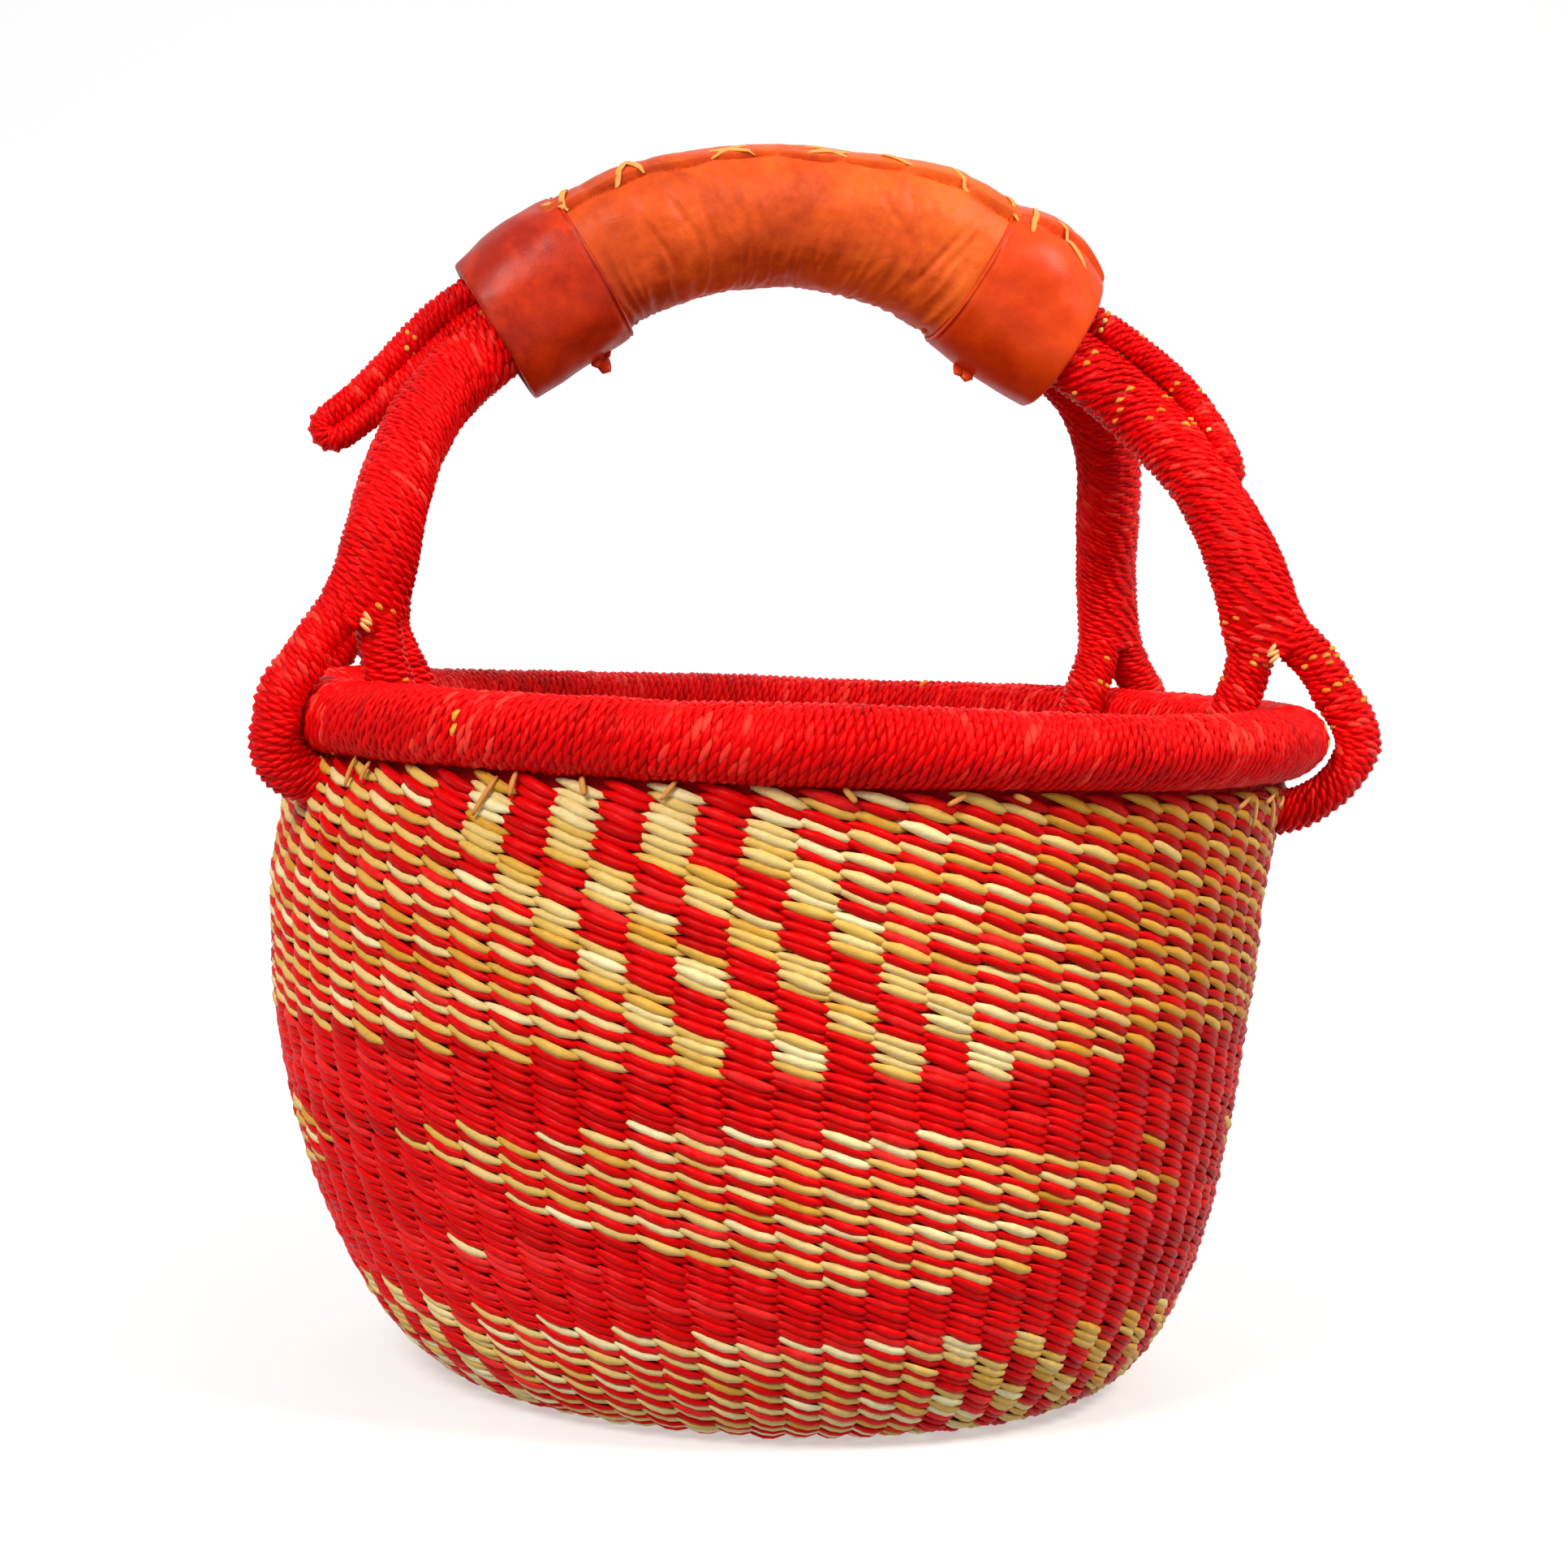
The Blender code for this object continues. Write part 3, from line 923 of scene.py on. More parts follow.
@dataclass
class BasketBody:
    """The woven body: its stakes, its lining of weave and its stitches on both faces."""

    outline: Outline
    weave: Weave
    pattern: Pattern
    finishes: dict[Dye, bpy.types.Material]
    core: bpy.types.Material
    straw_stitches: int = 9
    lining_half: float = 0.55 * MM
    lining_tuck: float = 5.0 * MM
    stake_radius: float = 0.9 * MM
    # degrees right of the front where the straw's tone drops as painted shade, and how far its
    # edges fade
    ripe_side: tuple[float, float] = (25.0, 120.0)
    ripe_fade: float = 30.0
    bleached_below: float = 0.10

    def wall_stitches(self) -> None:
        """Builds each course's outside and inside stitches, with one piece for each colour."""
        chance = np.random.default_rng(7)
        foot_arc = self.outline.length_to(self.outline.foot - MM)
        rows = int((foot_arc - self.weave.first_row) / self.weave.row_pitch)
        index = np.arange(rows * self.weave.stakes)
        azimuth = index * 2 * math.pi / self.weave.stakes
        arc = self.weave.first_row + index / self.weave.stakes * self.weave.row_pitch
        height = self.outline.at(arc)[1]
        natural = self.pattern.natural(index, azimuth, height, chance)
        course = self.pattern.course_of(height, azimuth)
        tone = {
            Face.OUTSIDE: self.tones(index, azimuth, height, seed=11),
            Face.INSIDE: self.tones(index, azimuth, height, seed=12),
        }
        for number, node in enumerate(COURSES):
            for dye in Dye:
                parts = []
                tones = []
                for face in Face:
                    shown = natural if face is Face.OUTSIDE else self.behind(natural, course)
                    chosen = (course == number) & (shown == (dye is Dye.NATURAL))
                    if not chosen.any():
                        continue
                    parts.append(
                        self.weave.places(
                            index[chosen], arc[chosen], self.weave.stakes, face, chance
                        )
                    )
                    tones.append(tone[face][chosen])
                if not parts:
                    continue
                piece = scatter(
                    f"{node}_{dye.value}_straw",
                    self.weave.stitch,
                    np.concatenate(parts),
                    np.concatenate(tones),
                    seed=20 + number,
                )
                settle(piece, self.finishes[dye], [node])

    @staticmethod
    def behind(natural: np.ndarray, course: np.ndarray) -> np.ndarray:
        """True where the straw behind a stitch is natural: in patterns it is the other one.

        Args:
            natural: True for each outside stitch of natural straw.
            course: The number of each stitch's course.

        Returns:
            A flag for each inside stitch.
        """
        partner = np.concatenate([natural[1:], natural[-1:]])
        patterned = (natural | partner) & (course != 1) & (course != 3)
        return patterned & ~natural

    def tones(
        self, index: np.ndarray, azimuth: np.ndarray, height: np.ndarray, seed: int
    ) -> np.ndarray:
        """Each stitch's tone, from the straw that it belongs to and where it is on the wall.

        Args:
            index: The stitch's number along the spiral.
            azimuth: Its azimuth.
            height: Its height.
            seed: The seed of this face's straws.

        Returns:
            The tones, lower for darker straws and on the body's right-hand side, which is painted
            shade.
        """
        chance = np.random.default_rng(seed)
        straws = index // self.straw_stitches
        own = chance.uniform(0.0, 0.55, straws.max() + 2)[straws]
        side = (np.degrees(azimuth - FRONT) + 180.0) % 360.0 - 180.0
        # Painted shade: the body's right-hand side, where it turns away from the light, gets darker
        # tones.
        first, last = self.ripe_side
        ripe = np.clip((side - first) / self.ripe_fade, 0.0, 1.0)
        ripe = ripe * np.clip((last - side) / self.ripe_fade, 0.0, 1.0)
        bleached = np.clip((self.bleached_below - height) / 0.05, 0.0, 1.0) * 0.10
        return own + chance.uniform(0.0, 0.34, len(index)) - 0.42 * ripe + bleached

    def base_stitches(self) -> None:
        """Builds the base's rings, with fewer stakes towards the centre."""
        chance = np.random.default_rng(9)
        # How many stakes each ring has and where it ends, from the foot in to the centre.
        rings = ((self.weave.stakes, 60 * MM), (35, 30 * MM), (17, 14 * MM), (9, 4 * MM))
        outer = self.outline.foot - MM
        sorted_places: dict[Dye, list[np.ndarray]] = {dye: [] for dye in Dye}
        for stakes, inner in rings:
            start, end = self.outline.length_to(outer), self.outline.length_to(inner)
            count = int((end - start) / self.weave.row_pitch) * stakes
            index = np.arange(count)
            arc = start + index / stakes * self.weave.row_pitch
            row = index // stakes
            for face in Face:
                even = (index % 2 == 0) if face is Face.OUTSIDE else (index % 2 == 1)
                natural = even & (row % 11 < 6)
                for dye in Dye:
                    chosen = natural == (dye is Dye.NATURAL)
                    sorted_places[dye].append(
                        self.weave.places(index[chosen], arc[chosen], stakes, face, chance)
                    )
            outer = inner
        for dye, groups in sorted_places.items():
            places = np.concatenate(groups)
            tones = chance.uniform(0.05, 0.85, len(places))
            piece = scatter(
                f"base_weave_{dye.value}_straw", self.weave.base_stitch, places, tones, seed=31
            )
            settle(piece, self.finishes[dye], ["base_weave"])

    def lining(self) -> None:
        """Builds the dense middle of the weave, which closes the gaps between stitches."""
        shape = bmesh.new()
        half = self.lining_half
        arcs = np.linspace(0.0, self.outline.arcs[-1], 60)
        radius, height, out, up = self.outline.at(arcs)
        outside, inside = (
            [
                Vector((max(r + n * side, 0.0), 0.0, h + u * side))
                for r, h, n, u in zip(radius, height, out, up)
            ]
            for side in (half, -half)
        )
        tuck = Vector((0.0, 0.0, self.lining_tuck))  # its top edge ends inside the rim
        ends = [outside[0] + tuck, inside[0] + tuck]
        line = [shape.verts.new(point) for point in outside[::-1] + ends + inside]
        edges = [shape.edges.new(pair) for pair in zip(line, line[1:])]
        bmesh.ops.spin(
            shape,
            geom=line + edges,
            cent=(0.0, 0.0, 0.0),
            axis=(0.0, 0.0, 1.0),
            angle=2 * math.pi,
            steps=2 * self.weave.stakes,
            use_merge=True,
        )
        bmesh.ops.remove_doubles(shape, verts=shape.verts[:], dist=0.01 * MM)
        mesh = finished_mesh(shape, "weave_lining")
        note_plain_strands(mesh, 0.3)
        settle(made_object("weave_lining", mesh), self.core, list(COURSES))

    def stake_rods(self) -> None:
        """Builds the stakes that the weavers twist round, from the wall's top to the base."""
        shape = bmesh.new()
        arcs = np.concatenate([[0.4 * MM], np.linspace(6 * MM, self.outline.length_to(0.03), 26)])
        radius, height, out, up = self.outline.at(arcs)
        thick = self.stake_radius
        sideways = Vector((0.0, 1.0, 0.0))
        for stake in range(self.weave.stakes):
            azimuth = stake * 2 * math.pi / self.weave.stakes
            turn = Matrix.Rotation(azimuth, 4, "Z")
            stations = []
            for r, h, n, u in zip(radius, height, out, up):
                outward = Vector((n, 0.0, u))
                section = Matrix((sideways * thick, outward * thick, sideways.cross(outward)))
                place = Matrix.Translation((r, 0.0, h)) @ section.transposed().to_4x4()
                stations.append(turn @ place)
            sweep(shape, stations, 6)
        mesh = finished_mesh(shape, "stakes")
        note_plain_strands(mesh, 0.4, axes=(2, 0, 1))
        settle(made_object("stakes", mesh), self.core, list(COURSES))

    def build(self) -> None:
        """Builds every piece of the body."""
        self.wall_stitches()
        self.base_stitches()
        self.lining()
        self.stake_rods()


# ---- cords wound round the rim and legs


@dataclass
class Route:
    """A smooth line for winding cord round, with a frame and two radii at every point."""

    points: list[Vector]
    radii: list[float]
    closed: bool = False
    side: Vector | None = None
    widths: list[float] | None = None
    step: float = 1.6 * MM
    arcs: np.ndarray = field(init=False)
    at: np.ndarray = field(init=False)
    radius: np.ndarray = field(init=False)
    width: np.ndarray = field(init=False)
    along: np.ndarray = field(init=False)
    first: np.ndarray = field(init=False)
    second: np.ndarray = field(init=False)

    def __post_init__(self) -> None:
        """Spaces the points evenly and carries a frame along them without twist."""
        line = np.array([tuple(p) for p in self.points])
        radii = np.array(self.radii, float)
        widths = np.array(self.widths if self.widths else self.radii, float)
        if self.closed:
            line = np.vstack([line, line[:1]])
            radii, widths = np.append(radii, radii[0]), np.append(widths, widths[0])
        arcs = np.concatenate([[0.0], np.cumsum(np.linalg.norm(np.diff(line, axis=0), axis=1))])
        count = max(int(arcs[-1] / self.step), 3)
        self.arcs = np.linspace(0.0, arcs[-1], count + 1)
        self.at = np.stack([np.interp(self.arcs, arcs, line[:, k]) for k in range(3)], axis=1)
        self.radius = np.interp(self.arcs, arcs, radii)
        self.width = np.interp(self.arcs, arcs, widths)
        ahead = np.gradient(self.at, axis=0)
        if self.closed:
            ahead[0] = ahead[-1] = self.at[1] - self.at[-2]
        self.along = ahead / np.linalg.norm(ahead, axis=1)[:, None]
        carried = self.side if self.side is not None else Vector((0.0, 0.0, 1.0))
        firsts = []
        for tangent in self.along:
            axis = Vector(tangent)
            carried = (carried - axis * carried.dot(axis)).normalized()
            firsts.append(tuple(carried))
        self.first = np.array(firsts)
        self.second = np.cross(self.along, self.first)

    def look(self, arc: np.ndarray) -> tuple[np.ndarray, ...]:
        """Point, tangent, both side directions and both radii at distances along the line.

        Args:
            arc: The distances from the line's start.

        Returns:
            The four lists of vectors, then the width and the radius at each distance.
        """
        rows = [self.at, self.along, self.first, self.second]
        found = [
            np.stack([np.interp(arc, self.arcs, row[:, k]) for k in range(3)], axis=1)
            for row in rows
        ]
        found[1:] = [axis / np.linalg.norm(axis, axis=1)[:, None] for axis in found[1:]]
        radii = [np.interp(arc, self.arcs, radius) for radius in (self.width, self.radius)]
        return (*found, *radii)

    def stations(self, shrink: float) -> list[Matrix]:
        """A matrix for each circle of a tube along the line.

        Args:
            shrink: How far inside the line's own radii the tube lies.

        Returns:
            One matrix for each point, without the last of a closed line.
        """
        result = []
        last = len(self.at) - (1 if self.closed else 0)
        for k in range(last):
            columns = (
                Vector(self.first[k]) * (self.width[k] - shrink),
                Vector(self.second[k]) * (self.radius[k] - shrink),
                Vector(self.along[k]),
            )
            section = Matrix(columns).transposed()
            result.append(Matrix.Translation(self.at[k]) @ section.to_4x4())
        return result


@dataclass
class CordWinding:
    """Two-ply straw cord wound tightly round a core. Each ply shows as a short slanting crest."""

    name: str
    slot: str
    nodes: tuple[str, ...]
    route: Route
    plain: bpy.types.Material
    fleck: bpy.types.Material
    turn_pitch: float = 2.3 * MM
    crest_length: float = 7.4 * MM
    crest_spacing: float = 4.4 * MM
    crest_thickness: float = 1.5 * MM
    crest_rise: float = 0.45 * MM
    crest_sink: float = 0.25 * MM
    slant: float = math.radians(-20.0)
    flecks: float = 0.03
    seed: int = 1
    groups: int = 1
    core_inset: float = 0.42 * MM
    core_sides: int = 20
    samples: int = 4000

    def crest(self) -> StrandShape:
        """The visible stretch of one ply.

        Returns:
            Its shape, bowed enough to lie on the core.
        """
        radius = float(np.mean(self.route.radius))
        sag = radius - math.sqrt(max(radius**2 - (self.crest_length / 2) ** 2, 0.0))
        return StrandShape(
            length=self.crest_length,
            width=self.turn_pitch * 0.92,
            thickness=self.crest_thickness,
            bow=sag + self.crest_rise,
            lean=0.0,
            fullness=0.7,
            sides=5,
            places=(-1.0, -0.60, 0.0, 0.60, 1.0),
        )

    def places(self, crest: StrandShape) -> tuple[np.ndarray, np.ndarray]:
        """Where each crest goes, on one long helix.

        Args:
            crest: The crest's shape.

        Returns:
            A matrix for each crest, and the number of the helix turn that it is on.
        """
        chance = np.random.default_rng(self.seed)
        length = self.route.arcs[-1]
        fine = np.linspace(0.0, length, self.samples)
        *_, wide, deep = self.route.look(fine)
        girth = math.pi * (wide + deep)
        cord = np.concatenate([[0.0], np.cumsum(girth[1:] * np.diff(fine) / self.turn_pitch)])
        number = int(cord[-1] / self.crest_spacing)
        spacing = chance.uniform(0.86, 1.14, number) * self.crest_spacing
        arc = np.interp(np.cumsum(spacing), cord, fine)
        arc = arc[arc < length]
        count = len(arc)
        turn = arc / self.turn_pitch
        angle = turn * 2 * math.pi
        point, along, first, second, wide, deep = self.route.look(arc)
        cos, sin = np.cos(angle)[:, None], np.sin(angle)[:, None]
        outward = first * cos / wide[:, None] + second * sin / deep[:, None]
        outward /= np.linalg.norm(outward, axis=1)[:, None]
        surface = point + first * cos * wide[:, None] + second * sin * deep[:, None]
        lump = np.array([noise.noise(Vector(p) * 70.0) for p in surface])[:, None]
        around = np.cross(along, outward)
        slant = self.slant + chance.normal(0.0, 0.05, (count, 1))
        heading = around * np.cos(slant) + along * np.sin(slant)
        across = np.cross(outward, heading)
        origin = surface - outward * (crest.bow + self.crest_sink) + outward * lump * 0.5 * MM
        origin = origin + along * chance.normal(0.0, 0.10 * MM, (count, 1))
        stretch = chance.uniform(0.92, 1.10, (count, 1))
        width = chance.uniform(0.90, 1.12, (count, 1))
        return matrices(heading * stretch, across * width, outward, origin), turn

    def build(self) -> None:
        """Builds the crests, plain and flecked, and the core that they lie on."""
        crest = self.crest()
        places, turn = self.places(crest)
        chance = np.random.default_rng(self.seed + 100)
        drift = 0.22 + 0.16 * np.sin(turn * 0.21 + self.seed) + 0.10 * np.sin(turn * 1.7)
        tones = drift + chance.uniform(0.0, 0.5, len(places))
        runs = chance.random(len(places) // 2 + 1)[np.arange(len(places)) // 2]
        spots = [noise.noise(Vector(place) * 55.0) for place in places[:, :3, 3]]
        natural = runs < self.flecks * np.clip(np.array(spots) * 6.0 + 0.6, 0.0, 3.0)
        places[natural, :3, 0] *= 0.52
        places[natural, :3, 1] *= 0.85
        places[natural, :3, 3] += places[natural, :3, 2] * 0.15 * MM
        share = np.minimum((turn / (turn[-1] + 1e-6) * self.groups).astype(int), self.groups - 1)
        for group in range(self.groups):
            chosen = ~natural & (share == group)
            suffix = f"_{group + 1}" if self.groups > 1 else ""
            piece = scatter(
                f"{self.name}{suffix}", crest, places[chosen], tones[chosen], self.seed
            )
            settle(piece, self.plain, self.nodes)
        if natural.any():
            piece = scatter(
                f"{self.name}_flecks", crest, places[natural], tones[natural], self.seed
            )
            settle(piece, self.fleck, self.nodes)
        shape = bmesh.new()
        sweep(shape, self.route.stations(self.core_inset), self.core_sides, self.route.closed)
        mesh = finished_mesh(shape, f"{self.name}_under_turns")
        note_plain_strands(mesh, 0.15)
        settle(made_object(f"{self.name}_under_turns", mesh), self.plain, self.nodes)


# ---- the grip's line


@dataclass(frozen=True)
class GripLine:
    """The arched line of the grip: an arc at the top and a straight run to each cuff's mouth."""

    top: Vector
    radius: float = 0.100
    half_turn: float = math.radians(33.0)
    tilt: float = math.radians(1.4)
    cuff_length: float = 0.035
    cuff_lap: float = 0.008

    @property
    def half_arc(self) -> float:
        """Half the arc's length."""
        return self.radius * self.half_turn

    @property
    def half_grip(self) -> float:
        """From the top to a cuff's mouth."""
        return self.half_arc + self.cuff_length

    @property
    def half_sleeve(self) -> float:
        """From the top to the sleeve's end, inside a cuff."""
        return self.half_arc + self.cuff_lap

    def point(self, along: float) -> Vector:
        """A point of the line, at a distance from the top that is positive to the right.

        Args:
            along: The distance.

        Returns:
            The point.
        """
        turn = min(abs(along) / self.radius, self.half_turn)
        straight = max(abs(along) - self.half_arc, 0.0)
        out = self.radius * math.sin(turn) + straight * math.cos(turn)
        drop = self.radius * (1.0 - math.cos(turn)) + straight * math.sin(turn)
        offset = Vector((math.copysign(out, along), 0.0, -drop))
        return self.top + Matrix.Rotation(-self.tilt, 3, "Y") @ offset

    def frame(self, along: float) -> tuple[Vector, Vector]:
        """The line's forward and outward directions at a distance from the top.

        Args:
            along: The distance from the top, positive to the right.

        Returns:
            Both directions, of unit length.
        """
        turn = math.copysign(min(abs(along) / self.radius, self.half_turn), along) - self.tilt
        forward = Vector((math.cos(turn), 0.0, -math.sin(turn)))
        return forward, Vector((math.sin(turn), 0.0, math.cos(turn)))

    def ring(self, along: float, radius: float) -> Matrix:
        """A station for sweep: a circle square to the line, at a distance from the top.

        Args:
            along: The distance from the top, positive to the right.
            radius: The circle's radius.

        Returns:
            The circle's matrix.
        """
        forward, outward = self.frame(along)
        section = Matrix((Vector((0.0, 1.0, 0.0)), outward, forward)).transposed()
        scaled = section @ Matrix.Diagonal((radius, radius, 1.0))
        return Matrix.Translation(self.point(along)) @ scaled.to_4x4()


# ---- rim, legs and ears


@dataclass
class Rim:
    """The padded rim: a grass core with red cord wound round it."""

    radius: float
    height: float
    wrap_radius: float
    flattening: float = 0.955
    count: int = 260

    def route(self) -> Route:
        """The rim's closed line, a little uneven as a hand leaves it.

        Returns:
            The line to wind cord round.
        """
        points = []
        radii = []
        for k in range(self.count):
            azimuth = k * 2 * math.pi / self.count
            wobble = noise.noise(Vector((math.cos(azimuth), math.sin(azimuth), 0.3)) * 2.1)
            radius = self.radius + wobble * 0.9 * MM
            lift = noise.noise(Vector((math.cos(azimuth), math.sin(azimuth), 4.3)) * 1.6) * MM
            lift += (0.5 - 0.5 * math.cos(azimuth - FRONT)) * 1.8 * MM
            points.append(
                Vector((radius * math.cos(azimuth), radius * math.sin(azimuth), self.height + lift))
            )
            swell = noise.noise(Vector((math.cos(azimuth), math.sin(azimuth), 9.1)) * 5.0)
            radii.append(self.wrap_radius + swell * 0.45 * MM)
        return Route(points, radii, closed=True, widths=[r * self.flattening for r in radii])


@dataclass
class Leg:
    """One of the four handle legs: a bundle that forks into a loop round the rim."""

    place: str
    azimuth: float
    rim_radius: float
    rim_height: float
    grip: GripLine
    lean: float
    fork_height: float = 0.036
    crotch_height: float = 0.0275
    radius: float = 8.6 * MM
    fullness: float = 1.0 * MM
    eye_radius: float = 17.8 * MM
    shoulder: float = 0.0
    eye_tangent: float = math.radians(55.0)
    spread: float = 3.45 * MM
    strand: float = 6.4 * MM
    seat_side: float = 8.8 * MM
    seat_drop: float = 4.0 * MM
    seat: float = 0.022
    fork_spans: tuple[float, float] = (0.016, 0.050)
    fork_widths: tuple[float, float] = (12.6 * MM, 11.0 * MM)
    fork_depths: tuple[float, float] = (6.8 * MM, 7.8 * MM)

    def __post_init__(self) -> None:
        """Works out the directions that the leg and loop follow."""
        self.side = 1 if self.place.startswith("right") else -1
        self.back = 1 if self.place.endswith("back") else -1
        radial = Vector((math.cos(self.azimuth), math.sin(self.azimuth), 0.0))
        self.rim = radial * self.rim_radius + Vector((0.0, 0.0, self.rim_height))
        self.up = Vector((0.0, 0.0, math.cos(self.lean))) - radial * math.sin(self.lean)
        self.across = radial * math.cos(self.lean) + Vector((0.0, 0.0, math.sin(self.lean)))
        self.sideways = self.up.cross(self.across)
        forward, outward = self.grip.frame(self.side * self.grip.half_grip)
        self.inward = forward * -self.side
        self.mouth = (
            self.grip.point(self.side * self.grip.half_grip)
            - outward * self.seat_drop
            + Vector((0.0, self.back * self.seat_side, 0.0))
        )
        self.fork = self.rim + self.up * self.fork_height

    def shaft(self, count: int = 60) -> list[Vector]:
        """The leg's centre line, from the fork to its seat inside the cuff.

        Args:
            count: How many points the bend has.

        Returns:
            The points.
        """
        reach = (self.mouth - self.fork).length
        line = interpolate_bezier(
            self.fork,
            self.fork + self.up * reach * 0.38,
            self.mouth - self.inward * reach * 0.34,
            self.mouth,
            count,
        )
        return list(line) + [self.mouth + self.inward * self.seat * part for part in (0.5, 1.0)]

    def branch(self, hand: int, count: int = 16) -> list[Vector]:
        """The fork's branch down to the loop, on the outer (1) or inner (-1) side.

        Args:
            hand: The side.
            count: How many points it has.

        Returns:
            The points, from the fork down.
        """
        cos, sin = math.cos(self.eye_tangent), math.sin(self.eye_tangent)
        down = self.up * cos + self.across * hand * sin
        run = self.up * sin - self.across * hand * cos
        start = self.fork + self.across * hand * self.spread
        end = self.rim + down * self.eye_radius
        handle = (start - end).length * 0.36
        line = interpolate_bezier(start, start - self.up * handle, end + run * handle, end, count)
        push = self.across * self.shoulder * max(hand, 0)
        return [
            point + push * math.sin(math.pi * k / (count - 1)) for k, point in enumerate(line)
        ]

    def loop(self, count: int = 46) -> list[Vector]:
        """The loop's centre line: down one branch, under the rim and up the other.

        Args:
            count: How many points the round part has.

        Returns:
            The points.
        """
        turns = np.linspace(self.eye_tangent, 2 * math.pi - self.eye_tangent, count)
        circle = [
            self.rim + (self.up * math.cos(t) + self.across * math.sin(t)) * self.eye_radius
            for t in turns
        ]
        return self.branch(1)[:-1] + circle + self.branch(-1)[-2::-1]

    def loop_route(self) -> Route:
        """The stretch of the loop that shows below the crotch.

        Returns:
            The line to wind cord round.
        """
        lowest = self.crotch_height + 3 * MM
        line = [p for p in self.loop() if (p - self.rim).dot(self.up) < lowest]
        return Route(line, [self.strand] * len(line), side=self.sideways)

    def leg_route(self) -> Route:
        """The leg from the crotch to its cuff, wide where the two branches meet.

        Returns:
            The line to wind cord round.
        """
        start = self.rim + self.up * (self.crotch_height - 2.5 * MM)
        push = self.across * self.shoulder
        line = [start + push * 0.35, (start + self.fork) / 2 + push * 0.22] + self.shaft()
        arcs = np.concatenate([[0.0], np.cumsum([(b - a).length for a, b in zip(line, line[1:])])])
        full = self.radius + self.fullness
        spans = [0.0, *self.fork_spans]
        wide = np.interp(arcs, spans, [*self.fork_widths, full])
        deep = np.interp(arcs, spans, [*self.fork_depths, full])
        seat = np.interp(arcs, [arcs[-1] - 0.030, arcs[-1] - 0.014], [1.0, 0.90])
        lumps = np.array([noise.noise(p * 38.0 + Vector((self.azimuth, 0, 0))) for p in line])
        deep, wide = deep * seat + lumps * 0.45 * MM, wide * seat + lumps * 0.45 * MM
        return Route(line, list(deep), side=self.across, widths=list(wide))


@dataclass
class Ear:
    """A leftover end of the leg bundle: two cords side by side that turn back at a rounded tip."""

    name: str
    centre: list[Vector]
    spreads: list[Vector]
    radius: float = 4.3 * MM

    def route(self) -> Route:
        """Out along one cord, round the tip and back along the other.

        Returns:
            The line to wind cord round.
        """
        out = [p + s for p, s in zip(self.centre, self.spreads)]
        back = [p - s for p, s in zip(self.centre, self.spreads)]
        count = len(self.centre)
        along = (self.centre[-1] - self.centre[-2]).normalized()
        spread = self.spreads[-1]
        tip = [
            self.centre[-1]
            + spread * math.cos(turn)
            + along * spread.length * 0.9 * math.sin(turn)
            for turn in np.linspace(0.0, math.pi, 9)[1:-1]
        ]
        line = out + tip + back[::-1]
        narrowing = [1.0 - 0.16 * (k / count) ** 2 for k in range(count)]
        radii = narrowing + [0.84] * len(tip) + narrowing[::-1]
        return Route(line, [self.radius * share for share in radii], step=1.2 * MM)


